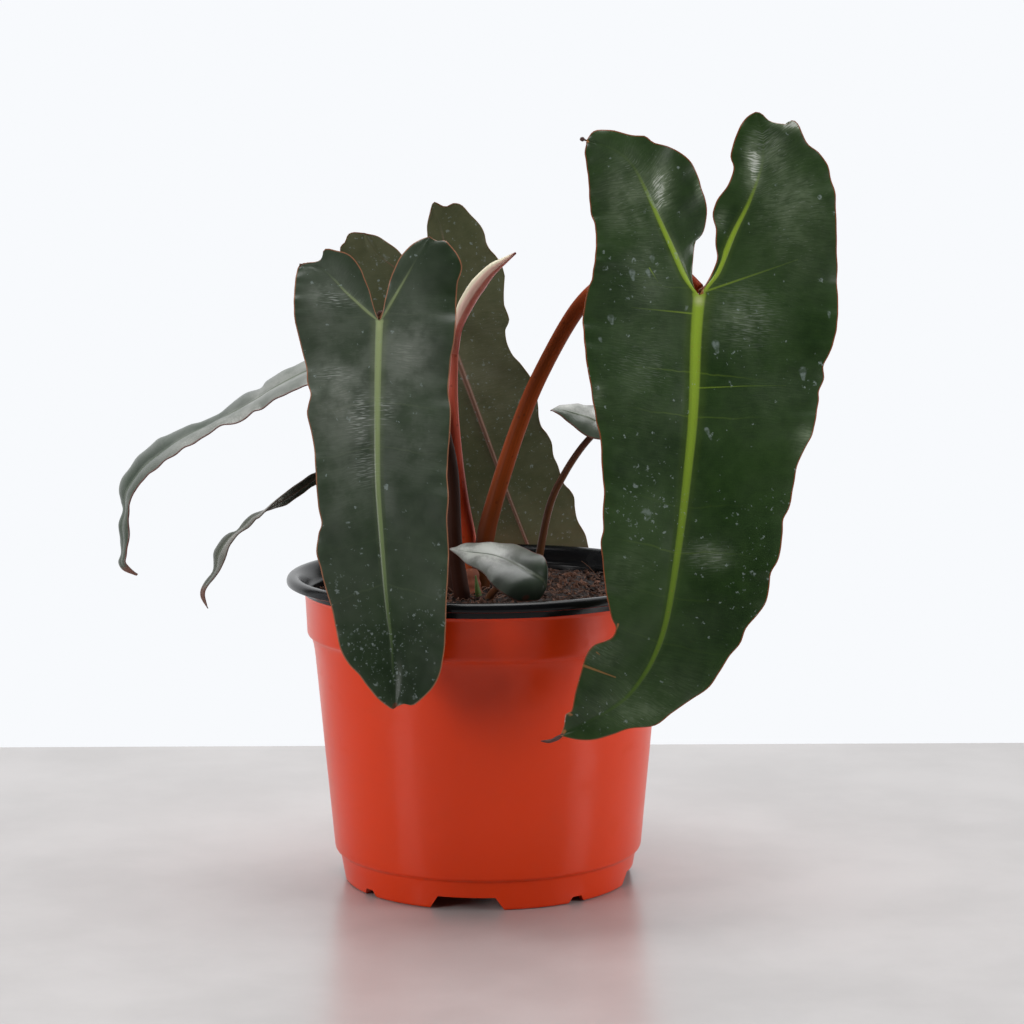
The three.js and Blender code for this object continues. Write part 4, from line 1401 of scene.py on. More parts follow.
@dataclass
class LeafBlade:
    """A blade drawn flat and laid on a ribbon, with its midrib, lobe veins and waved margin."""

    node: str
    route: Places
    faces: Places
    half_width: float
    fold: float
    droop: float
    wave: tuple[float, float, float]
    midrib: Flat
    left: HalfBlade
    right: HalfBlade
    finish: LeafFinish
    under: LeafFinish
    rib_width: tuple[float, float]
    under_rib: float
    sinus_index: int = 1
    rows: tuple[int, int] = (44, 130)
    columns: int = 22
    inner_columns: int = 10
    rib_height: float = 0.3
    rib_reach: float = 0.8
    ruffle: float = 0.5
    pillow: float = 0.3
    wet: list[Spot] = field(default_factory=list)
    dry: list[Stroke] = field(default_factory=list)
    # sheen and glints: ovals of painted sheen and painted glints on the flat drawing
    sheen: list[Oval] = field(default_factory=list)
    glints: list[Oval] = field(default_factory=list)
    lag: tuple[float, float] = (0.0, 0.0)
    seed: float = 1.0
    arms: float = 1.0
    thickness: float = 0.55
    rim_thickness: float = 0.38

    def __post_init__(self) -> None:
        """Lays out the ribbon and the midrib."""
        self.ribbon = Ribbon(self.route, self.faces, self.sinus_index)
        self.centre_line = SmoothLine(self.midrib)

    def midrib_across(self, along: np.ndarray) -> np.ndarray:
        """Gives how far the midrib lies off the ribbon's middle."""
        line = np.array(self.midrib)
        return np.interp(np.maximum(along, 0), line[:, 1], line[:, 0])

    def place(self, flat: np.ndarray, side: int, lift: np.ndarray) -> np.ndarray:
        """Puts flat places in space, folded along the midrib, drooped and waved.

        Args:
            flat: flat places in millimetres.
            side: 1 on the right half, -1 on the left.
            lift: how far each is raised.

        Returns:
            Places in millimetres.
        """
        along = flat[..., 1]
        d = np.abs(flat[..., 0] - self.midrib_across(along))
        soft = np.sqrt(d * d + 4.0) - 2.0
        high, length, shift = self.wave
        swing = np.sin(2 * math.pi * along / length + (0 if side > 0 else shift))
        reach = np.minimum(d / self.half_width, 1.2)
        height = soft * math.tan(math.radians(self.fold)) - self.droop * d * d + high * reach * reach * swing
        point, across, normal = self.ribbon.frame(along)
        return point + across * flat[..., 0:1] + normal * (height + lift)[..., None]

    def ruffled(self, flat: np.ndarray, length_row: np.ndarray, part: np.ndarray, side: int) -> np.ndarray:
        """Gives the soft pillows between the side veins and the waves that grow towards the margin.

        Args:
            flat: flat places in millimetres.
            length_row: millimetres along the vein from the sinus, one a row.
            part: each place's share of the way from the vein to the edge.
            side: 1 on the right half, -1 on the left.

        Returns:
            How far each place is raised.
        """
        x, y, s = flat[..., 0], length_row[:, None], self.seed
        pillows = np.sin(y / 5.6 - np.abs(x) / 7.5 + 1.4 * np.sin(y / 23 + s)) * np.sin(x / 11 + 1.3 * s + y / 31)
        swell = np.sin(y / 12.5 + 2.1 * s + side) * np.sin(x / 15 - s)
        t = y / 10
        waves = np.sin(4.1 * t + s + side) * np.sin(1.3 * t + 2 * s) + 0.55 * np.sin(7.3 * t + 3 * s + side)
        calm = ease(part, 0.03, 0.3)
        return calm * (self.pillow * pillows + 1.6 * self.pillow * swell) + self.ruffle * waves * part**4

    def strip(
        self, starts: np.ndarray, ends: np.ndarray, length_row: np.ndarray, shares: np.ndarray, side: int, inner: bool
    ) -> Piece:
        """Builds one strip between a vein and the edge.

        Args:
            starts: flat places on the vein, one a row.
            ends: flat places on the edge, one a row.
            length_row: millimetres along the vein from the sinus, below zero on a lobe.
            shares: 0 at the sinus to 1 at the tip or at a lobe's end.
            side: 1 on the right half, -1 on the left.
            inner: True for the strip at the sinus.

        Returns:
            The strip, with the numbers that its finish reads.
        """
        columns = self.inner_columns if inner else self.columns
        reach = np.linalg.norm(ends - starts, axis=1)
        top, tip = self.rib_width
        lobes = length_row < 0
        rib = np.where(lobes, 0.62 * top * (1 - 0.75 * shares), top + (tip - top) * shares)
        rib = np.minimum(rib, 0.28 * reach + 0.01)[:, None]
        near = np.array([0.0, 0.3, 0.6, 0.85, 1.0, 1.3])
        spread = np.linspace(0, 1, columns + 2 - len(near))[1:] ** 1.05
        rest = 1.3 * rib + (reach[:, None] - 1.3 * rib) * spread[None, :]
        distance = np.concatenate([near[None, :] * rib, rest], axis=1)
        part = np.clip(distance / np.maximum(reach, 1e-6)[:, None], 0, 1)
        flat = starts[:, None, :] + (ends - starts)[:, None, :] * part[..., None]
        fading = 0.12 * (1 - shares) + 0.88 * (1 - ease(shares, 0.28, 0.75))
        fade = np.where(lobes, fading * self.arms, 1 - ease(shares, self.rib_reach, 1.0))[:, None]
        joint = np.linalg.norm(flat - np.array(self.midrib[0]), axis=-1) / (1.15 * top)
        side_of_rib = np.minimum(distance / np.maximum(rib, 1e-6), np.maximum(joint, 0.35))
        ridge = self.rib_height * (1 - ease(side_of_rib, 0.45, 1.25)) * fade
        groove = 0.12 * np.exp(-((side_of_rib - 1.5) ** 2) / 0.3) * fade
        curl = -0.35 * ease(part, 0.92, 1.0)
        lift = ridge - groove + curl + self.ruffled(flat, length_row, part, side)
        pattern = np.stack([distance, np.broadcast_to(length_row[:, None], distance.shape)], axis=-1)
        skin = self.rim_thickness + (self.thickness - self.rim_thickness) * (1 - ease(part, 0.8, 1.0))
        under = self.under_rib * np.where(lobes, 0.6 * (1 - shares), 1 - 0.8 * shares)[:, None]
        joint_x, joint_y = self.midrib[0]
        numbers = {
            "rib_side": side_of_rib,
            "rib_fade": fade,
            "length_share": np.where(lobes, 0.15 * shares, shares)[:, None],
            "from_margin": (reach[:, None] - distance) * MM,
            "thick": skin + under * (1 - ease(side_of_rib, 0.2, 1.4)),
            "wet": spots_at(flat, self.wet),
            "dry": streaks_at(flat, self.dry),
            # painted sheen and painted glints
            "sheen": ovals_at(flat, self.sheen),
            "glint": ovals_at(flat, self.glints),
            "joint": spots_at(flat, [(joint_x, joint_y + 2.4, 1.7, self.arms**3)]),
            "drawn_x": flat[..., 0],
            "drawn_y": flat[..., 1],
        }
        return strip_of("strip", self.place(flat, side, lift), pattern, numbers, (side > 0) != inner)

    def half(self, half: HalfBlade, side: int) -> list[Piece]:
        """Builds the outer and the inner strip of one half.

        Args:
            half: the half's outlines.
            side: 1 on the right half, -1 on the left.

        Returns:
            The two strips.
        """
        lobe_rows, blade_rows = self.rows
        vein, lobe = SmoothLine(half.vein[::-1]), SmoothLine(half.lobe)
        margin, sinus = SmoothLine(half.margin), SmoothLine(half.sinus[::-1])
        lobe_share, blade_share = np.linspace(0, 1, lobe_rows + 1), np.linspace(0, 1, blade_rows + 1)
        lobe_length = -vein.length * (1 - lobe_share)
        starts = np.vstack([vein.at(lobe_share), self.centre_line.at(blade_share[1:])])
        held_back = blade_share - self.lag[0 if side < 0 else 1] * 4 * blade_share * (1 - blade_share)
        ends = np.vstack([lobe.at(lobe_share), margin.at(held_back[1:])])
        lengths = np.concatenate([lobe_length, self.centre_line.length * blade_share[1:]])
        lengths[lobe_rows] = 0.0
        shares = np.concatenate([1 - lobe_share, blade_share[1:]])
        outer = self.strip(starts, ends, lengths, shares, side, False)
        lobe_length[-1] = -1e-6
        inner = self.strip(vein.at(lobe_share), sinus.at(lobe_share), lobe_length, 1 - lobe_share, side, True)
        return [outer, inner]

    def build(self) -> list[Piece]:
        """Builds the blade and dresses it."""
        strips = self.half(self.left, -1) + self.half(self.right, 1)
        return [blade_of(self.node, strips, (self.finish, self.under), 2e-6)]


GREEN_A = LeafFinish(
    "leaf_deep_green", srgb(25, 44, 19), srgb(43, 68, 26), srgb(150, 178, 54), srgb(44, 74, 28),
    margin=srgb(146, 76, 48), dried=srgb(150, 104, 60), sheen_haze=srgb(126, 140, 114), sheen_haze_amount=0.08, rough=0.285,
    gloss=0.34, branches=0.18,
    veins=(
        (1.6, -1.4, 38, -17.5, 0.6), (-4.0, 9, -30, 11, 0.5), (0.5, 40.5, 36, 34.8, 0.4),
        (-23.5, -7.5, -19.5, -2, 0.4),
    ),
    drops=(
        (-26, -39.5, -22.6, -33.6, 1.3), (-22.6, -12, -22.2, -10.4, 1.5), (-30.8, -4.5, -30.2, -1.4, 1.8),
        (-24.2, -6, -23.2, -3.6, 1.3), (-38.2, 17, -37.4, 19.4, 1.8), (-41.8, 27.4, -41.2, 28.6, 1.1),
        (6.2, 20.6, 7.2, 24.2, 1.9), (42.6, 27.6, 43.2, 31, 2.0), (-12.6, -15, -12.2, -13.2, 1.1),
        (5.4, 57.4, 7.6, 61.4, 1.2), (51.8, 3, 52, 5, 1.0),
    ),
    halo=0.08,
    scars=((-38, 155.5, -22.5, 160, 0.7), (-23.3, 139, -23.6, 141, 0.6), (-31, 150.5, -29.5, 151.5, 0.3)),
)
GREEN_B = LeafFinish(
    "leaf_grey_green", srgb(26, 41, 23), srgb(40, 58, 33), srgb(156, 170, 120), srgb(66, 90, 50),
    margin=srgb(158, 104, 76), sheen_haze_amount=0.17, rough=0.33, marks=0.06, gloss=0.32, branches=0.1, fine=0.35,
)
GREEN_C = LeafFinish(
    "leaf_back_green", srgb(36, 54, 32), srgb(54, 74, 44), srgb(96, 120, 60), srgb(80, 104, 56), shine=0.3
)
UNDER_C = LeafFinish(
    "leaf_olive_underside", srgb(72, 78, 52), srgb(96, 98, 70), srgb(156, 110, 96), srgb(140, 106, 92),
    margin=srgb(96, 88, 52), sheen_haze=srgb(124, 124, 108), sheen_haze_amount=0.2, rough=0.42, marks=0.3, wrinkle=0.5, gloss=0.28,
    halo=0.02, branches=0.06, crest=srgb(104, 72, 58),
)
UNDER_A = LeafFinish(
    "leaf_pale_underside", srgb(62, 76, 44), srgb(84, 96, 60), srgb(150, 96, 64), srgb(120, 104, 62), rough=0.42,
    wrinkle=0.2, shine=0.25,
)
UNDER_DARK = LeafFinish(
    "leaf_dark_underside", srgb(32, 38, 30), srgb(50, 56, 44), srgb(90, 70, 60), srgb(80, 70, 56), rough=0.3,
)
GREEN_SMALL = LeafFinish(
    "leaf_small_green", srgb(36, 50, 36), srgb(58, 72, 54), srgb(82, 92, 72), srgb(74, 86, 62),
    margin=srgb(104, 62, 54), dried=srgb(104, 66, 52), sheen_haze=srgb(172, 173, 168), sheen_haze_amount=0.26, rough=0.285, gloss=0.55,
    marks=0.0, branches=0.1,
    fine=0.2,
)

GREEN_TINY = LeafFinish(
    "leaf_tiny_green", srgb(50, 60, 46), srgb(88, 94, 80), srgb(96, 104, 84), srgb(80, 90, 68),
    margin=srgb(92, 74, 66), dried=srgb(104, 74, 62), sheen_haze=srgb(170, 164, 160), sheen_haze_amount=0.35, rough=0.36, wrinkle=0.03,
    marks=0.0, fine=0.0,
)


@dataclass
class TwistedBlade:
    """A narrow blade given by three lines in space: its back edge, its midrib and its front edge.

    Each ear at the base is given from its tip to the sinus by its outer and its inner edge.
    """

    node: str
    lines: list[tuple[Place, Place, Place]]
    back_ear: list[tuple[Place, Place]]
    front_ear: list[tuple[Place, Place]]
    finish: LeafFinish
    under: LeafFinish
    rib_width: tuple[float, float] = (1.3, 0.3)
    bulge: float = 0.1
    ruffle: float = 0.35
    dry: list[tuple[float, float, float, float]] = field(default_factory=list)
    # ovals of painted sheen
    sheen: list[Oval] = field(default_factory=list)
    seed: float = 1.0
    per_span: int = 7
    columns: int = 13
    thickness: float = 0.5

    def half(self, side: int) -> Piece:
        """Builds one half.

        Args:
            side: 1 for the half behind the midrib, -1 for the one in front of it.

        Returns:
            The half, with the numbers that its finish reads.
        """
        ear = self.back_ear if side > 0 else self.front_ear
        edge = 0 if side > 0 else 2
        outer = smooth_through([e[0] for e in ear] + [line[edge] for line in self.lines], self.per_span, False)[0]
        inner = smooth_through([e[1] for e in ear] + [line[1] for line in self.lines], self.per_span, False)[0]
        ear_rows = len(ear) * self.per_span
        middle = inner[ear_rows:]
        length = np.concatenate([[0.0], np.cumsum(np.linalg.norm(np.diff(middle, axis=0), axis=1))])
        shares = np.concatenate([np.zeros(ear_rows), length / length[-1]])
        lengths = np.concatenate([np.linspace(-8, -0.3, ear_rows), length])[:, None]
        reach = np.linalg.norm(outer - inner, axis=1)
        wide = reach[:, None]
        rib = self.rib_width[0] + (self.rib_width[1] - self.rib_width[0]) * shares
        rib = np.minimum(rib, 0.3 * reach + 0.01)[:, None]
        part = np.concatenate([[0.0, 0.5, 1.0], np.linspace(1.0, 2.0, self.columns)[1:]])[None, :]
        distance = np.where(part <= 1, part * rib, rib + (part - 1) * (wide - rib))
        share = np.clip(distance / np.maximum(wide, 1e-6), 0, 1)
        straight = inner[:, None, :] + (outer - inner)[:, None, :] * share[..., None]
        upwards = unit(side * np.cross(outer - inner, unit(np.gradient(inner, axis=0))))
        upwards[reach < 0.3] = upwards[np.argmax(reach)]
        side_of_rib = distance / np.maximum(rib, 1e-6)
        fade = np.where(shares > 0, 1 - ease(shares, 0.7, 1.0), 0.0)[:, None]
        t, s = lengths / 10, self.seed
        waves = np.sin(3.7 * t + s + side) * np.sin(1.7 * t + 2 * s) + 0.5 * np.sin(6.9 * t + 3 * s)
        lift = self.bulge * wide * 4 * share * (1 - share) + 0.25 * (1 - ease(side_of_rib, 0.3, 1.1)) * fade
        lift += self.ruffle * waves * share**3 * np.minimum(wide / 6, 1)
        across, along = side * share, np.broadcast_to(lengths, share.shape)
        dry = np.zeros_like(share)
        for centre, beside, long, broad in self.dry:
            from_centre = lengths - (centre if centre > 0 else length[-1] + centre)
            dry = np.maximum(dry, np.exp(-((from_centre / long) ** 2 + ((across - beside) / broad) ** 2)))
        numbers = {
            "rib_side": side_of_rib,
            "rib_fade": fade,
            "length_share": shares[:, None],
            "from_margin": (wide - distance) * MM,
            "thick": self.thickness + 0.5 * (1 - ease(side_of_rib, 0.2, 1.3)) * fade,
            "dry": dry,
            "sheen": ovals_at(np.stack([across, along], axis=-1), self.sheen),
        }
        places = straight + upwards[:, None, :] * lift[..., None]
        return strip_of("half", places, np.stack([distance, along], axis=-1), numbers, side < 0)

    def build(self) -> list[Piece]:
        """Builds the blade and dresses it."""
        return [blade_of(self.node, [self.half(1), self.half(-1)], (self.finish, self.under), 1e-5)]


BLADE_UPPER_LEFT = TwistedBlade(
    node="blade_upper_left",
    back_ear=[
        ((-20, 13, 240), (-20, 12.5, 240)), ((-23, 19, 239), (-22, 9, 239.5)), ((-29, 21.5, 237), (-27, 6.5, 236.5)),
        ((-36, 22, 234.5), (-33, 4.5, 232.5)),
    ],
    front_ear=[
        ((-22, -8, 237), (-22, -7.5, 237)), ((-26, -12, 234.5), (-25, -3.5, 236)), ((-32, -14, 231), (-29, 1, 235)),
        ((-38, -14, 228.5), (-34, 3, 232)),
    ],
    lines=[
        ((-44, 22, 232), (-40, 4, 229), (-44, -13, 225.5)), ((-58, 22, 227), (-56, 4.5, 223.5), (-56, -12, 219.5)),
        ((-70, 22.5, 222), (-68, 5, 219.5), (-67, -11, 215)),
        ((-78, 22.5, 219.5), (-76.5, 6, 216.5), (-75, -10, 212.5)),
        ((-86.5, 24, 216), (-84.5, 7, 212.5), (-82, -10, 209.5)),
        ((-94, 25, 211.5), (-91.5, 7.5, 208.5), (-88.5, -10, 206.5)),
        ((-96.5, 24.5, 208), (-95.5, 8, 206), (-94, -8.5, 203)),
        ((-104.5, 25, 205.5), (-102, 8.5, 202), (-99, -8.5, 200.5)),
        ((-111.5, 25, 199.5), (-108, 9.5, 199), (-105, -6, 196)),
        ((-116.5, 25, 196), (-114, 10, 195.5), (-111, -5, 195.5)),
        ((-122.5, 25.5, 193.5), (-119, 10.5, 193), (-116.5, -4.5, 192)),
        ((-128, 26.5, 192), (-125.5, 11, 190), (-122.5, -4.5, 188.5)),
        ((-136, 27.5, 188.5), (-132.5, 11.5, 186), (-128.5, -4.5, 185)),
        ((-143, 27, 185.5), (-139.5, 12, 181), (-135.5, -3.5, 180)),
        ((-150, 25.5, 179.5), (-145.5, 12, 176.5), (-141.5, -2, 175.5)),
        ((-155.5, 22.5, 172.5), (-150.5, 11.5, 170.5), (-146, 0, 171.5)),
        ((-158.5, 19.5, 165.5), (-154, 10.5, 165), (-150, 1.5, 166)),
        ((-157.5, 17.5, 160.5), (-154.5, 10, 161), (-151.5, 2, 162)),
        ((-156.5, 16, 156.5), (-154.5, 9.5, 157), (-152.5, 3, 158.5)),
        ((-158.5, 14, 150.5), (-156, 8.5, 150.5), (-152.5, 3.5, 152)),
        ((-157.5, 12.5, 144), (-155.5, 7.5, 144.5), (-153, 3, 145)),
        ((-157, 10.5, 139), (-156, 7, 139), (-154, 3.5, 139.5)),
        ((-158, 9, 135), (-156.5, 6, 135), (-154.5, 3.5, 136)),
        ((-155.5, 7, 131.5), (-154.5, 5.5, 132.5), (-153, 4.5, 133.5)),
        ((-150, 5.3, 129.5), (-149.5, 5, 130), (-149.5, 4.7, 130)),
    ],
    finish=GREEN_SMALL, under=UNDER_C, rib_width=(1.4, 0.3), dry=[(-2, 0, 6, 9)], seed=2.2,
    # painted sheen; the last oval, below zero, takes painted sheen away and darkens the place
    sheen=[(0.3, 20, 1.5, 30, 0.65), (0, 62, 0.5, 16, 0.6), (-0.9, 84, 0.35, 22, 0.9), (0.55, 86, 0.5, 24, -0.35)],
)
BLADE_LOWER_LEFT = TwistedBlade(
    node="blade_lower_left",
    back_ear=[
        ((-38, 4, 183), (-38, 3.5, 183)), ((-42, 6.5, 180), (-41, -0.5, 184)), ((-47, 7, 178), (-45, -4, 183)),
    ],
    front_ear=[
        ((-37, -11, 188.5), (-37, -10.5, 188.5)), ((-41, -15, 188), (-40, -8, 187)),
        ((-46, -16, 187), (-44.5, -5.5, 184)),
    ],
    lines=[
        ((-54, 7, 175.5), (-50, -5, 181.7), (-53, -16.5, 184.5)),
        ((-63, 5, 171.5), (-61, -5.5, 177), (-62, -15.5, 180)),
        ((-72.5, 1.5, 169), (-71.5, -6, 173), (-71.5, -13.5, 176)),
        ((-77.5, 1.5, 166), (-76, -7, 170), (-75.5, -15.5, 174)),
        ((-82.5, 0, 162.5), (-81.5, -8, 166.5), (-80.5, -16, 170.5)),
        ((-86.5, -1.5, 160.5), (-86.5, -8.5, 163.5), (-86, -15.5, 166.5)),
        ((-91.5, -2.5, 159), (-91.5, -9, 160.5), (-91, -15.5, 162)),
        ((-95.5, -3.5, 158.3), (-95.5, -9.5, 158), (-95.2, -15.5, 157.5)),
        ((-99.5, -4.5, 157), (-98.5, -9.5, 156.5), (-97, -15, 156.5)),
        ((-103, -4.5, 154), (-101.5, -10, 153.5), (-100, -16, 153)),
        ((-105.5, -5.5, 150.5), (-105, -10.5, 150.5), (-104, -15.5, 150.5)),
        ((-109, -5, 149.5), (-107.5, -11, 148.5), (-106, -17.5, 148.5)),
        ((-112.5, -4.5, 146.5), (-110.5, -11.5, 145), (-108, -18.5, 145)),
        ((-115.5, -6, 142), (-113, -12, 140.5), (-110, -18.5, 140)),
        ((-115.5, -6.5, 137.5), (-113.5, -12, 136.5), (-112, -17.5, 135.5)),
        ((-116, -8.5, 133.5), (-115, -12, 133), (-114.5, -16, 132)),
        ((-119, -8.5, 129.5), (-118, -12, 129), (-117, -15.5, 129)),
        ((-121, -9.5, 126), (-120, -12, 126), (-118.5, -14.5, 126.5)),
        ((-121, -10.5, 122.5), (-120, -12, 123), (-119, -13.5, 123.5)),
        ((-118, -11.8, 118), (-118, -12, 118), (-118, -12.2, 118.5)),
    ],
    finish=GREEN_TINY, under=UNDER_DARK, rib_width=(1.0, 0.3), dry=[(-3, 0, 9, 9)], seed=5.1, ruffle=0.2, per_span=3,
    # sheen: painted sheen ovals
    thickness=0.4, sheen=[(0, 8, 1.5, 22, 0.0), (0, 44, 1.5, 8, 1.2), (-0.8, 68, 0.45, 12, 0.6)],
)
BLADE_SMALL_RIGHT = TwistedBlade(
    node="blade_small_right",
    back_ear=[((69, 29, 201), (69, 28.5, 201)), ((66, 32, 201.5), (65, 26, 201))],
    front_ear=[((67, 16, 193), (67, 16.5, 193.5)), ((63, 14, 190), (62.5, 20, 197))],
    lines=[
        ((59, 31, 200.5), (59.5, 23, 199.3), (57, 16, 187)), ((53, 32, 200.2), (54, 22, 195.8), (50.5, 16, 186)),
        ((46, 32, 199.5), (48.5, 22, 193.5), (44.5, 16, 187)), ((42.5, 32, 199.5), (44, 22, 195), (40, 16, 190)),
        ((39, 31, 200.2), (39, 22, 196.5), (36, 17, 193)), ((33, 27, 200), (34.5, 21, 198), (32.5, 18, 196)),
        ((30, 23.5, 199.5), (30.5, 20.5, 199), (29, 19, 198)), ((27.5, 20, 198.5), (28, 20, 198.5), (28, 20, 198.5)),
    ],
    finish=GREEN_SMALL, under=UNDER_C, rib_width=(0.9, 0.3), dry=[(35, 0, 1.5, 9)], seed=6.0, ruffle=0.3, per_span=5,
    # painted sheen
    sheen=[(0.6, 20, 0.7, 20, 0.9)],
)
BLADE_SMALL_FRONT = TwistedBlade(
    node="blade_small_front",
    back_ear=[],
    front_ear=[],
    lines=[
        ((25, -63, 135.5), (25, -63, 135), (25, -63, 134.7)), ((25.5, -61.5, 140.5), (24, -63, 136), (22, -64, 130)),
        ((25, -60, 144), (23.5, -63, 137.5), (18, -65, 129.5)),
        ((23.5, -57, 146.5), (21.5, -62, 139), (13.5, -66, 129.5)),
        ((20, -53, 147.5), (18, -60, 140.5), (9, -66, 131.5)),
        ((16, -46, 148.5), (13.5, -56, 142.5), (5.5, -64, 133.5)), ((11.5, -38, 149), (9, -51, 144), (2, -62, 136.5)),
        ((3.5, -35, 149), (3.5, -47, 145.5), (0, -58, 139)), ((-3, -34, 149), (-2.5, -44, 146), (-3.5, -54, 141)),
        ((-9.5, -34, 148.5), (-7.5, -40, 146), (-8, -47, 142)),
        ((-12.5, -35, 147.5), (-11.5, -38, 146.5), (-11, -41, 144)),
        ((-15, -36, 147), (-15, -36, 146.5), (-15, -36, 146.3)),
    ],
    finish=GREEN_SMALL, under=UNDER_A, rib_width=(0.7, 0.2), dry=[(4.5, -0.85, 1.2, 0.14)], seed=7.7, ruffle=0.25,
    per_span=5,
    # painted sheen on the blade's top
    sheen=[(0.2, 34, 1.2, 13, 1.3), (0.0, 48, 1.0, 9, 0.7)],
)
TWISTED_BLADES = [
    BLADE_UPPER_LEFT, BLADE_LOWER_LEFT, BLADE_SMALL_RIGHT, BLADE_SMALL_FRONT,
]


BLADE_LARGE_RIGHT = LeafBlade(
    node="blade_large_right",
    route=[(94, -18, 332), (89, -42, 252), (84, -64, 202), (78, -82, 149), (72, -93, 77)],
    faces=[(0.2, -1, 0.25), (0.2, -1, 0.3), (0.17, -1, 0.3), (0.12, -1, 0.25), (0.05, -1, 0.15)],
    half_width=50, fold=9, droop=0.0012, wave=(1.6, 47, 2.2),
    midrib=[
        (-1.6, 0.8), (-1.8, 20), (-0.5, 50), (-0.5, 75), (-1, 100), (-2.5, 124), (-4.5, 140), (-8, 152), (-12.5, 161),
        (-18, 168.5), (-25.5, 174.5), (-33.5, 179.5), (-42.5, 185),
    ],
    left=HalfBlade(
        sinus=[
            (-1.6, 0.8), (-3, -1.2), (-4.2, -4.6), (-4.9, -11.5), (-4.5, -18.5), (-4, -22), (-2, -24), (-0.5, -28),
            (0, -35), (-1, -40), (-3, -44), (-4.5, -49), (-7.5, -54), (-12.5, -58), (-17, -59.5), (-21.5, -60),
            (-24.5, -60.5), (-27, -62.2), (-28, -62.8), (-33, -62.5), (-38.5, -63), (-42.5, -63.5), (-48, -63),
            (-51, -61), (-53, -57.5),
        ],
        vein=[
            (-1.6, 0.8), (-4.6, -2), (-8.6, -6.8), (-14.5, -17.5), (-22, -31.5), (-27.5, -41.5), (-33, -49.5),
            (-41, -55), (-53, -57.5),
        ],
        lobe=[
            (-53, -57.5), (-53.5, -52), (-52, -45.5), (-50.5, -37.5), (-49, -29), (-47, -22.5), (-46.5, -15.5),
            (-47, -7), (-47.5, 1.5),
        ],
        margin=[
            (-47.5, 1.5), (-49, 7.5), (-49.5, 18.5), (-48.5, 27.5), (-47, 37), (-44.5, 46), (-42.5, 53), (-40, 61),
            (-37.5, 69), (-36, 79.5), (-34, 88.5), (-33.5, 97.5), (-32.5, 103.5), (-33, 108), (-31.5, 115.5),
            (-30, 123.5), (-28, 131), (-26, 137), (-24, 140.5), (-25, 144), (-28, 146), (-32.5, 148), (-35, 152),
            (-36.5, 159), (-38, 167), (-39, 174.5), (-41, 176), (-41.5, 181.5), (-42.5, 185),
        ],
    ),
    right=HalfBlade(
        sinus=[
            (-1.6, 0.8), (0.2, -3), (2.6, -7.5), (4.2, -12), (5.1, -16), (4, -21), (4, -27.5), (3, -31.5), (2.5, -35),
            (4, -40), (7.5, -45.5), (9.5, -50.5), (10, -54.5), (8.5, -58.5), (9.5, -64), (11.5, -70.5), (14.5, -75.5),
            (18, -78),
        ],
        vein=[
            (-1.6, 0.8), (1.8, -4), (5.6, -10), (11, -25.5), (16.5, -38.5), (20, -49), (22, -58), (21.5, -68),
            (18, -78),
        ],
        lobe=[
            (18, -78), (20.5, -77.5), (24, -75), (28, -74), (31.5, -74), (33.5, -76), (36, -74.5), (38, -70.5),
            (41, -66.5), (46, -63.5), (49.5, -59), (51, -53), (52.5, -46.5), (53, -35.5), (54, -25), (55.5, -14.5),
            (56, 0),
        ],
        margin=[
            (56, 0), (55.5, 6), (55, 11.5), (53, 19.5), (51, 24.5), (52, 29), (50, 35), (50, 39.5), (49, 48),
            (48, 54.5), (45.5, 60.5), (43, 68), (42.5, 76.5), (41.5, 85.5), (39.5, 91), (39.5, 97.5), (38.5, 107.5),
            (36, 113.5), (36, 119), (35, 126), (32.5, 130.5), (28, 136.5), (26, 143), (22, 148.5), (18.5, 155),
            (15, 161), (8.5, 166.5), (1, 172.5), (-5.5, 178), (-15.5, 180), (-22, 183), (-29, 185.5), (-36, 186),
            (-42.5, 185),
        ],
    ),
    wet=[
        (-13, 91, 15, 0.8), (31, 93, 12, 0.4), (24, 122, 14, 0.35), (-30, 0, 14, 0.2), (9, 27, 8, 0.4),
        (46, 28, 6, 0.4), (-38, 40, 9, 0.2), (-24, -6, 10, 0.25), (-28, 176, 8, 0.5),
    ],
    lag=(0.0, 0.085),
    # painted sheen and painted highlights on the lobes, by the veins, at the margin and on the blade
    sheen=[
        (-20.5, -41, 3.4, 9, 1.9), (-34, -36, 10, 16, 0.6), (18, -56, 3.0, 10, 1.5), (27, -61, 6, 8, 0.55),
        (29, -74, 5, 1.8, 1.2), (-3, -45, 1.8, 6, 1.0), (34, -42, 12, 14, 0.35), (36, -74, 5, 3, 1.0),
        (5.5, -31, 2.4, 4, 1.0), (34, -30, 14, 24, 0.2), (15, 8, 13, 12, 0.4), (11, 109, 8, 5, 0.4),
        (46, 58, 4, 6, 0.7), (-41, 51, 3, 4, 0.5), (-22, 118, 10, 14, 0.16), (-24, 30, 14, 36, 0.16),
        (30, 40, 14, 14, 0.1), (-30, 150, 7, 5, 0.5), (-14, 174, 14, 5, 0.35), (-8, 166, 22, 14, 0.14),
        (-22, -8, 10, 12, 0.25),
    ],
    # painted glints
    glints=[(19, 8, 10, 11, 0.22), (11, 109, 8, 5, 0.2), (22, -66, 6, 5, 0.25), (-22, 36, 12, 10, 0.1)],
    dry=[(-42.5, 185, -41, 183, 1.0), (-40.5, 175.5, -39, 176.5, 0.8), (-53, -57.5, -52.5, -57, 0.7)],
    finish=GREEN_A, under=UNDER_A, rib_width=(2.6, 0.5), rib_reach=0.7, rib_height=0.2, under_rib=1.9, rows=(60, 150),
    columns=26,
    seed=1.3,
)
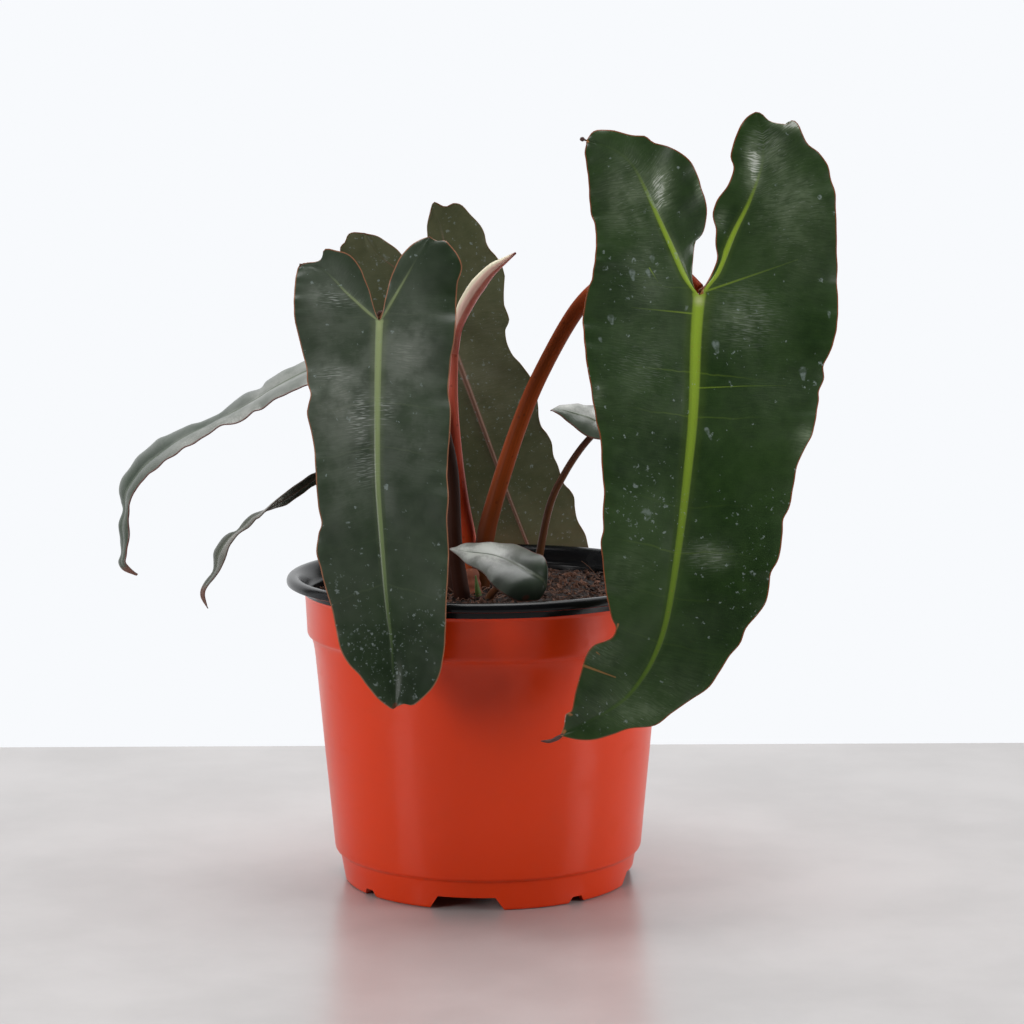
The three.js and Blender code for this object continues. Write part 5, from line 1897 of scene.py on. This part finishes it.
BLADE_FRONT_LEFT = LeafBlade(
    node="blade_front_left",
    route=[(-40, -35, 276), (-43, -47, 243), (-43, -67, 191), (-41, -83, 141), (-37, -91, 90)],
    faces=[(-0.05, -1, 0.25), (-0.05, -1, 0.3), (-0.05, -1, 0.3), (-0.08, -1, 0.2), (-0.1, -1, 0.1)],
    half_width=30, fold=8, droop=0.0015, wave=(1.3, 36, 2),
    midrib=[
        (0.6, 1.2), (0.2, 34.5), (0, 67.5), (0.5, 84), (1, 100), (1.5, 120), (2, 132), (1.5, 148), (1.5, 159),
    ],
    left=HalfBlade(
        sinus=[
            (0.6, 1.2), (-1.2, -2.4), (-2.8, -7), (-4.4, -11.8), (-6.8, -16.4), (-8.6, -20), (-12, -24), (-15.5, -26),
            (-19.5, -26.5), (-23, -26.8), (-24.6, -25.8), (-25, -22.5), (-27.5, -21), (-30.5, -20.5), (-33.5, -19.5),
        ],
        vein=[(0.6, 1.2), (-3.4, -1.4), (-8.5, -5.6), (-14, -10), (-19, -14.5), (-25, -18.5), (-33.5, -19.5)],
        lobe=[(-33.5, -19.5), (-34.5, -17), (-34.5, -10.5), (-34, -1.5), (-33.5, 3)],
        margin=[
            (-33.5, 3), (-32.5, 6.5), (-30.5, 14), (-28.5, 21.5), (-28, 27.5), (-26.5, 32.5), (-27.5, 37),
            (-28, 40.5), (-26.5, 47.5), (-25.5, 53.5), (-25, 59), (-24.5, 69), (-24, 78), (-23, 84.5), (-24.5, 88.5),
            (-25.5, 95.5), (-24, 102.5), (-22.5, 110), (-20.5, 119), (-19.5, 128), (-18, 135.5), (-15.5, 140.5),
            (-12, 145), (-9, 150), (-5, 155.5), (-0.5, 159.6), (1.5, 159),
        ],
    ),
    right=HalfBlade(
        sinus=[
            (0.6, 1.2), (1.8, -3.5), (2.5, -9), (3.5, -15.5), (5, -21.5), (7, -27), (10.5, -31.5), (14.5, -34.5),
            (18, -35.5),
        ],
        vein=[(0.6, 1.2), (3.4, -3.6), (6.2, -9), (9.8, -17), (13, -24.5), (16, -30.5), (18, -35.5)],
        lobe=[
            (18, -35.5), (21, -34), (24.5, -34), (26.5, -32.5), (30, -29), (32.5, -24.5), (32.5, -21), (31.5, -16.5),
            (31.5, -7.5), (32, 1),
        ],
        margin=[
            (32, 1), (31.5, 10.5), (30, 18.5), (29, 31.5), (30, 40.5), (29.5, 50.5), (28.5, 59.5), (28, 67.5),
            (28.5, 77), (27.5, 86), (27.5, 97), (27, 106), (25.5, 118.5), (24, 131.5), (22.5, 140), (20.5, 147),
            (17.5, 152), (13, 156), (8.5, 158.8), (5, 158), (1.5, 159),
        ],
    ),
    # painted sheen
    sheen=[
        (-14, 34, 14, 24, 0.6), (-22, -8, 9, 12, 0.5), (12, 14, 11, 18, 0.6), (0, 24, 28, 44, 0.08),
        (16, 54, 12, 16, 0.25), (-12, 74, 12, 14, 0.22), (2, 70, 6, 20, 0.1),
    ],
    # painted glints
    glints=[
        (-6.5, 42, 4, 9, 0.6), (-18, -6.5, 7, 3, 0.6), (3.5, 38, 2.5, 6, 0.5), (-16, 24, 7, 2.5, 0.45),
        (-5, 62, 4, 6, 0.4),
    ],
    wet=[(-6, 134, 15, 1.2), (-15, 108, 10, 0.5), (15, 120, 12, 0.5), (2, 152, 8, 0.6)],
    dry=[(0.5, 159.5, 1.5, 158, 1.2), (-33.5, -19.5, -33.5, -19, 0.8), (-25, -25, -24.8, -26, 0.5)],
    finish=GREEN_B, under=UNDER_A, rib_width=(1.55, 0.5), under_rib=1.5, rows=(36, 130), columns=22,
    rib_reach=0.62, seed=2.1, arms=0.5,
)
BLADE_BACK = LeafBlade(
    node="blade_back",
    route=[(-39, 48, 288), (-23, 62, 244), (-6, 80, 193), (16, 95, 138), (46, 104, 55)],
    faces=[(0, 1, 0.3), (0, 1, 0.35), (0, 1, 0.3), (0.05, 1, 0.2), (0.1, 1, 0.1)],
    half_width=28, fold=6, droop=0.001, wave=(1.3, 31, 1.7),
    midrib=[(0, 0), (-1, 33), (-1, 62), (1, 103), (1, 140), (0, 198)],
    left=HalfBlade(
        sinus=[
            (0, 0), (-2.5, -7), (-4, -14), (-5, -22), (-7, -28.5), (-8.5, -33), (-11.5, -38), (-14, -41.5),
        ],
        vein=[(0, 0), (-8, -12), (-13, -24), (-14, -41.5)],
        lobe=[
            (-14, -41.5), (-15.5, -42), (-17.5, -40), (-19.5, -38.5), (-23, -38.5), (-26, -36), (-28, -30.5),
            (-30.5, -25), (-31, -21), (-30.5, -17.5), (-31, -13.5), (-32, -10), (-33, -5), (-32.5, 1),
        ],
        margin=[
            (-32.5, 1), (-30, 7), (-28.5, 12), (-28.5, 14), (-28.5, 19.5), (-27, 22), (-25, 25), (-24, 31),
            (-24.5, 37), (-27, 42.5), (-29, 49.5), (-29, 58), (-27.5, 66), (-26, 71), (-25.5, 76), (-26.5, 80.5),
            (-26.5, 86), (-25, 92), (-25, 98), (-24.5, 105.5), (-26, 109.5), (-26.5, 113.5), (-25, 118.5), (-24, 124),
            (-25, 130), (-25, 135), (-23, 150), (-19, 170), (-12, 187), (0, 198),
        ],
    ),
    right=HalfBlade(
        sinus=[(0, 0), (3, -8), (4, -16), (6.5, -24.5), (8, -28), (11.5, -33), (15, -36.5), (18.5, -39)],
        vein=[(0, 0), (5.5, -10), (12, -20), (17, -29), (18.5, -39)],
        lobe=[(18.5, -39), (22, -40.5), (25.5, -40.5), (28, -38), (31.5, -35), (34, -20), (33, 0)],
        margin=[
            (33, 0), (30, 14), (31, 28), (28, 45), (29, 62), (27, 80), (27, 100), (25, 118), (25, 135), (22, 155),
            (17, 173), (10, 188), (0, 198),
        ],
    ),
    wet=[(-18, 60, 40, 0.2), (-10, 100, 30, 0.25), (15, -25, 15, 0.5)],
    # painted sheen; the first oval, below zero, takes painted sheen away and darkens the lobe
    sheen=[(-16, -26, 16, 18, -0.35), (-20, 22, 12, 14, 0.16), (-12, 46, 16, 30, 0.24)],
    finish=GREEN_C, under=UNDER_C, rib_width=(1.9, 0.7), under_rib=1.5, rows=(36, 140), columns=22,
    seed=3.2,
)
LEAF_BLADES = [
    BLADE_LARGE_RIGHT, BLADE_FRONT_LEFT, BLADE_BACK,
]


@dataclass
class DriedTip:
    """A dried end of the large leaf, whose route is given on the leaf's flat drawing with its lift."""

    name: str
    route: Places
    radii: list[float]
    steps: int = 26
    sides: int = 14
    inset: float = 0.35

    def section(self, angle: np.ndarray, share: np.ndarray) -> np.ndarray:
        """Gives how the radius swells and dips round the end."""
        return 1 + 0.12 * np.sin(2 * angle + 9 * share)

    def build(self) -> list[Piece]:
        """Builds the end and dresses it.

        Returns:
            The end.
        """
        drawn = np.array(self.route)
        route = BLADE_LARGE_RIGHT.place(drawn[:, :2], -1, drawn[:, 2] - self.inset)
        piece = rounded_tube(self.name, route, self.radii, self.steps, self.sides, self.section)
        finish = CloudyFinish(self.name + "_skin", srgb(38, 24, 26), srgb(104, 68, 58), 500.0, 3.0, 0.5)
        return [settle(piece, Slot.LEAF, [finish.material()])]


DRIED_TIPS = [
    DriedTip(
        "leaf_tip_curl",
        [(-41.3, 184.3, 0.1), (-43.5, 186, 0.0), (-46.5, 187.4, 0.4), (-50, 187.6, 0.2)],
        [0.5, 0.9, 0.75, 0.2],
    ),
    DriedTip(
        "lobe_bead",
        [(-52.6, -57.4, 0.1), (-53.8, -57.7, 0.3), (-54.8, -57.8, 0.5), (-55.4, -57.8, 0.6)],
        [0.3, 0.35, 0.95, 0.7],
    ),
]


# Stems


@dataclass
class Petiole:
    """One stem from its root in the soil to its end under a blade."""

    node: str
    route: Places
    radii: list[float]
    finish: StemFinish
    slot: Slot
    steps: int = 90
    sides: int = 28
    channel: float = 0.06

    channel_angle: float = 1.6 * math.pi

    def section(self, angle: np.ndarray, share: np.ndarray) -> np.ndarray:
        """Gives how the radius swells and dips round the stem.

        Args:
            angle: the angle round the stem.
            share: the share of its length.

        Returns:
            The radius's scale, with a faint channel and base rings.
        """
        channel = self.channel * np.exp(-(((angle - self.channel_angle) / 0.5) ** 2))
        rings_low = 0.035 * np.sin(150 * share) * (1 - ease(share, 0.14, 0.26)) * ease(share, 0.08, 0.1)
        return 1 - channel + rings_low + 0.02 * np.sin(9 * share + 2 * angle)

    def build(self) -> list[Piece]:
        """Builds the stem and dresses it."""
        piece = rounded_tube(self.node + "_skin", self.route, self.radii, self.steps, self.sides, self.section)
        return [settle(piece, self.slot, [self.finish.material()], self.node)]


ORANGE = StemFinish(
    "petiole_orange_skin", srgb(62, 38, 16), srgb(138, 60, 18), srgb(150, 54, 18), rough=0.45, gloss=0.1
)
RED = StemFinish("petiole_red_skin", srgb(140, 76, 18), srgb(172, 44, 14), srgb(206, 96, 78), rough=0.33)
BROWN = StemFinish("petiole_brown_skin", srgb(84, 62, 24), srgb(92, 54, 34), srgb(82, 44, 34), rough=0.33)
DARK = StemFinish("petiole_dark_skin", srgb(50, 24, 16), srgb(56, 28, 18), srgb(72, 42, 28), rough=0.5, gloss=0.14)


PETIOLE_LARGE_RIGHT = Petiole(
    "petiole_large_right",
    [
        (-4, 12, 98), (-3, 13, 121), (-1, 13, 142), (4, 12, 162), (14, 8, 193), (24, 3, 217), (39, -7, 244),
        (53, -14, 257), (68, -23, 262), (80, -31, 260), (87.6, -37.6, 253.8),
    ],
    [4.2, 4.1, 3.9, 3.7, 3.6, 3.5, 3.4, 3.4, 3.2, 2.8, 2.4],
    ORANGE, Slot.ORANGE, steps=150, sides=36,
)
PETIOLE_FRONT_LEFT = Petiole(
    "petiole_front_left",
    [
        (-8, -11, 98), (-10, -16, 121), (-13, -20, 146), (-14, -26, 177), (-18, -31, 197), (-25, -36, 217),
        (-33, -40, 234), (-39, -41.5, 243), (-42.7, -43.4, 243.9),
    ],
    [3.6, 3.5, 3.2, 3, 2.9, 2.8, 2.6, 2.3, 1.9], DARK, Slot.BROWN,
)
PETIOLE_BACK = Petiole(
    "petiole_back",
    [
        (-10, 31, 98), (-10, 33, 121), (-11, 37, 149), (-15, 42, 175), (-19, 49, 201), (-21.5, 55, 226),
        (-23, 59.2, 241.8),
    ],
    [3.2, 3.1, 2.9, 2.7, 2.5, 2.3, 2.2], BROWN, Slot.BROWN,
)
PETIOLE_NEW = Petiole(
    "petiole_new",
    [
        (-6, 22, 98), (-6.5, 22, 121), (-8, 21, 142), (-11, 18, 161), (-13, 14, 182), (-14, 10, 204),
        (-13, 6.5, 225.3),
    ],
    [3.9, 3.8, 3.5, 3.2, 2.6, 2.1, 1.4], RED, Slot.RED, steps=120, sides=36,
)
PETIOLE_SMALL_RIGHT = Petiole(
    "petiole_small_right",
    [
        (18, 28, 100), (21, 28, 121), (23, 27, 136), (27.5, 26, 157), (33.5, 25, 170), (40.5, 24, 181),
        (47.5, 23.5, 189), (54, 23.5, 194.5), (59, 23.3, 198.0),
    ],
    [2, 1.9, 1.8, 1.7, 1.7, 1.6, 1.5, 1.4, 1.3], BROWN, Slot.BROWN, sides=22,
)
PETIOLE_SMALL_FRONT = Petiole(
    "petiole_small_front",
    [(1, -12, 104), (1, -15, 121), (5, -27, 129), (12, -42, 134.5), (17.6, -53, 140.2), (19.3, -56.4, 142.4)],
    [1.8, 1.7, 1.6, 1.5, 1.4, 1.2], BROWN, Slot.BROWN, sides=22, steps=60,
)
PETIOLE_UPPER_LEFT = Petiole(
    "petiole_upper_left",
    [(-15, 11, 98), (-14, 10, 121), (-14, 7, 153), (-21, 5, 187), (-28, 4, 213), (-34.4, 4, 228.4)],
    [3, 2.9, 2.7, 2.5, 2.3, 2.1], DARK, Slot.BROWN, sides=24,
)
PETIOLE_LOWER_LEFT = Petiole(
    "petiole_lower_left",
    [(-19, 1, 100), (-20, 0, 121), (-24, -2, 146), (-33, -4, 166), (-42, -5, 177), (-46.9, -5, 180.4)],
    [2.2, 2.1, 2, 1.9, 1.8, 1.6], DARK, Slot.BROWN, sides=22,
)
PETIOLES = [
    PETIOLE_LARGE_RIGHT, PETIOLE_FRONT_LEFT, PETIOLE_BACK, PETIOLE_NEW, PETIOLE_SMALL_RIGHT, PETIOLE_SMALL_FRONT,
    PETIOLE_UPPER_LEFT, PETIOLE_LOWER_LEFT,
]


@dataclass
class StemBase:
    """The short stump among the roots of the stems, with a green side shoot."""

    stump_route: Places = field(
        default_factory=lambda: [(-4, -2, 94), (-5.5, 0, 112), (-6.5, 1.5, 126), (-6.8, 2, 131)]
    )
    stump_radii: tuple[float, ...] = (5.4, 5.2, 4.6, 3.2)
    stump_finish: StemFinish = StemFinish(
        "stump_skin", srgb(86, 44, 32), srgb(128, 62, 44), srgb(122, 70, 52), rough=0.6
    )
    shoot_route: Places = field(
        default_factory=lambda: [(-3, -8, 110), (-3, -8.5, 120), (-4, -8.5, 126), (-4.6, -8, 131)]
    )
    shoot_radii: tuple[float, ...] = (1.6, 1.6, 1.3, 0.3)
    shoot_finish: StemFinish = StemFinish(
        "shoot_skin", srgb(96, 100, 60), srgb(76, 98, 44), srgb(66, 90, 38), rough=0.45
    )

    def stump_section(self, angle: np.ndarray, share: np.ndarray) -> np.ndarray:
        """Gives how the stump's radius swells and dips."""
        return 1 + 0.05 * np.sin(60 * share) + 0.05 * np.sin(3 * angle + 4 * share)

    def shoot_section(self, angle: np.ndarray, share: np.ndarray) -> np.ndarray:
        """Gives how the shoot's radius swells and dips, the same at every share of its length."""
        return 1 + 0.06 * np.sin(2 * angle) + 0 * share

    def build(self) -> list[Piece]:
        """Builds the stump and the shoot and dresses them.

        Returns:
            The stump and the shoot.
        """
        stump = rounded_tube("stem_base_skin", self.stump_route, self.stump_radii, 70, 36, self.stump_section)
        shoot = rounded_tube("side_shoot_skin", self.shoot_route, self.shoot_radii, 40, 24, self.shoot_section)
        return [
            settle(stump, Slot.BROWN, [self.stump_finish.material()], "stem_base"),
            settle(shoot, Slot.SHOOT, [self.shoot_finish.material()], "side_shoot"),
        ]


@dataclass(frozen=True)
class SpearFinish:
    """The new leaf's skin: cream above, pink below, red at the margin and the tip."""

    name: str = "new_leaf_skin"
    cream: Colour = srgb(232, 224, 194)
    blush: Colour = srgb(244, 198, 182)
    red: Colour = srgb(206, 92, 76)
    root: Colour = srgb(204, 96, 76)
    cloudy: Colour = srgb(228, 184, 166)
    margin: Colour = srgb(186, 60, 48)
    tip: Colour = srgb(120, 34, 30)

    def material(self) -> bpy.types.Material:
        """Makes the skin's material.

        Returns:
            The material, which reads the numbers share, from_margin and lower.
        """
        material, w, shader = new_material(self.name)
        share, lower = w.value_of("share"), w.span(w.value_of("lower"), 0.15, 0.85)
        skin = w.layered(
            w.mix(w.span(lower, 0.0, 0.4), self.cream, self.blush),
            (w.span(lower, 0.88, 1.0), self.red),
            (w.span(share, 0.32, 0.0), self.root),
            (w.times(w.group(MOTTLE, Place=w.object_place(), Scale=90.0)["Value"], 0.25), self.cloudy),
            (w.span(w.value_of("from_margin"), 0.0011, 0.0002), self.margin),
            (w.span(share, 0.93, 1.0), self.tip),
        )
        streak = w.fibres(w.pattern_place(), (60.0, 3.0, 1.0))
        w.dress(shader, skin, 0.36, w.bumped(streak, 0.3, 0.0003))
        return material


@dataclass
class NewLeaf:
    """The rolled new leaf: one sheet wound on itself, with its red margin along the seam."""

    route: Places = field(default_factory=lambda: [
        (-13.05, 6.6, 224.3), (-11, 4, 238.5), (-5.8, 2, 249.6), (1.8, 0, 259.2), (8.4, -0.6, 264), (13, -1, 267),
    ])
    radii: tuple[float, ...] = (1.62, 2.25, 3.3, 3.4, 2.3, 0.3)
    turns: float = 1.35
    start_angle: float = 1.2
    steps: int = 150
    around: int = 72
    thickness: float = 0.3
    finish: SpearFinish = SpearFinish()

    def build(self) -> list[Piece]:
        """Winds the leaf and dresses it.

        Returns:
            The leaf.
        """
        rows = np.linspace(0, 1, self.steps + 1)
        centre, tangent = SmoothLine(self.route, reflected=True).run(rows)
        front = unit(np.cross(tangent, [0.0, 0.0, 1.0]))
        side = unit(np.cross(front, tangent))
        radius = np.maximum(np.interp(rows * (len(self.radii) - 1), np.arange(len(self.radii)), self.radii), 0.12)
        wind = np.linspace(0, 1, self.around + 1)
        turning = 2 * math.pi * self.turns
        angle = turning * wind + self.start_angle
        reach = radius[:, None] * (0.7 + 0.3 * wind[None, :])
        pattern = np.stack(np.broadcast_arrays(wind[None, :], rows[:, None]), axis=-1)
        places = rings(centre, (side, front), reach, angle)
        piece = sheet_of("leaf_new_spear_skin", (places + AXIS) * MM, pattern)
        measure(piece, "share", np.broadcast_to(rows[:, None], reach.shape))
        measure(piece, "from_margin", (1 - wind[None, :]) * turning * reach * MM)
        measure(piece, "lower", np.broadcast_to(0.5 - 0.5 * np.cos(angle), reach.shape))
        modifier = piece.modifiers.new("thickness", "SOLIDIFY")
        modifier.thickness, modifier.offset = self.thickness * MM, 0.0
        apply_modifiers(piece)
        face_out(piece)
        smooth(piece, 60)
        return [settle(piece, Slot.SPEAR, [self.finish.material()], "leaf_new_spear")]


# Studio


@dataclass(frozen=True)
class SoftBox:
    """A soft box that looks at the plant, in metres and watts."""

    name: str
    place: Place
    size: tuple[float, float]
    power: float
    target: Place = (0.0, 0.0, 0.1)

    def build(self) -> None:
        """Adds the light."""
        data = bpy.data.lights.new(self.name, "AREA")
        data.shape = "RECTANGLE"
        data.size, data.size_y = self.size
        data.energy = self.power
        light = bpy.data.objects.new(self.name, data)
        bpy.context.scene.collection.objects.link(light)
        light.location = self.place
        way = Vector(self.target) - Vector(self.place)
        light.rotation_euler = way.to_track_quat("-Z", "Y").to_euler()


@dataclass
class Studio:
    """The camera where the photograph was taken from, the table, the soft lights and the pale surroundings."""

    camera_place: Place = (10.9, -1250.0, 325.0)
    pitch: float = 7.65
    roll: float = 0.25
    focal_pixels: float = 2967.0
    image_pixels: float = 1024.0
    sensor: float = 36.0
    table_back: float = 262.0
    table_front: float = -1.6
    table_width: float = 3.0
    table_top: float = -0.0003
    lights: tuple[SoftBox, ...] = (
        SoftBox("overhead_box", (-0.1, 0.2, 1.35), (1.2, 0.9), 14.0),
        SoftBox("left_box", (-1.18, -0.75, 0.5), (0.4, 0.7), 9.4),
        SoftBox("right_box", (1.32, -0.46, 0.45), (0.4, 0.7), 9.8),
    )

    def camera(self) -> None:
        """Adds the camera and makes it the scene's."""
        data = bpy.data.cameras.new("camera")
        data.sensor_width = self.sensor
        data.lens = self.focal_pixels / self.image_pixels * self.sensor
        data.clip_start, data.clip_end = 0.05, 20.0
        camera = bpy.data.objects.new("camera", data)
        bpy.context.scene.collection.objects.link(camera)
        pitch, roll = math.radians(self.pitch), math.radians(self.roll)
        forward = Vector((0, math.cos(pitch), -math.sin(pitch)))
        up = Vector((0, math.sin(pitch), math.cos(pitch)))
        right = Vector((1, 0, 0))
        x = right * math.cos(roll) - up * math.sin(roll)
        y = right * math.sin(roll) + up * math.cos(roll)
        turn = Matrix((x, y, -forward)).transposed().to_4x4()
        place = Vector((AXIS + np.array(self.camera_place)) * MM)
        camera.matrix_world = Matrix.Translation(place) @ turn
        bpy.context.scene.camera = camera

    def table(self) -> None:
        """Adds the pale grey table."""
        clear_selection()
        bpy.ops.mesh.primitive_grid_add(x_subdivisions=2, y_subdivisions=2, size=1.0)
        table = bpy.context.object
        table.name = "table"
        depth = self.table_back * MM - self.table_front + AXIS[1] * MM
        for vertex in table.data.vertices:
            x, y, _ = vertex.co
            vertex.co = (x * self.table_width, self.table_front + depth * (y + 0.5), self.table_top)
        material, w, shader = new_material("table_grey")
        cloud = w.span(w.speckle(w.object_place(), 9.0, 6.0, 0.6), 0.3, 0.7)
        w.dress(shader, w.mix(cloud, srgb(176, 172, 171), srgb(190, 186, 185)), 0.28, gloss=0.8)
        table.data.materials.append(material)

    def surroundings(self) -> None:
        """Makes the world: white where the camera looks, darker behind it."""
        world = bpy.data.worlds.new("studio")
        bpy.context.scene.world = world
        world.use_nodes = True
        w = Wiring(world.node_tree)
        way = w.node("SeparateXYZ", None, Vector=w.node("TexCoord").outputs["Generated"])
        back = w.span(way.outputs["Y"], -0.3, 0.7, 0.04, 0.97)
        light = w.node("Background", None, Color=(0.97, 0.985, 1.0, 1.0), Strength=back)
        background = world.node_tree.nodes["Background"]
        background.inputs["Color"].default_value = rgba(srgb(248, 250, 253))
        background.inputs["Strength"].default_value = 1.0
        seen = w.node("LightPath").outputs["Is Camera Ray"]
        choice = w.numbered("MixShader", {}, {0: seen, 1: light.outputs[0], 2: background.outputs[0]})
        w.feed(world.node_tree.nodes["World Output"].inputs["Surface"], choice[0])

    def build(self) -> None:
        """Sets the studio up."""
        self.camera()
        self.table()
        self.surroundings()
        for light in self.lights:
            light.build()
        bpy.context.scene.view_settings.view_transform = "Standard"


# The whole plant


class SubAssembly(Protocol):
    """Anything that builds and dresses pieces."""

    def build(self) -> list[Piece]:
        """Builds the pieces."""


def main() -> None:
    """Builds the studio, the pot, the soil, the stems and the leaves, and reports each piece."""
    logging.basicConfig(level=logging.INFO, format="%(message)s")
    Studio().build()
    parts: list[SubAssembly] = [
        NurseryPot(), PottingSoil(), *PETIOLES, StemBase(), NewLeaf(), *LEAF_BLADES, *TWISTED_BLADES, *DRIED_TIPS
    ]
    for part in parts:
        for piece in part.build():
            LOG.info("%s: %d faces", piece.name, len(piece.data.polygons))


if __name__ == "__main__":
    main()
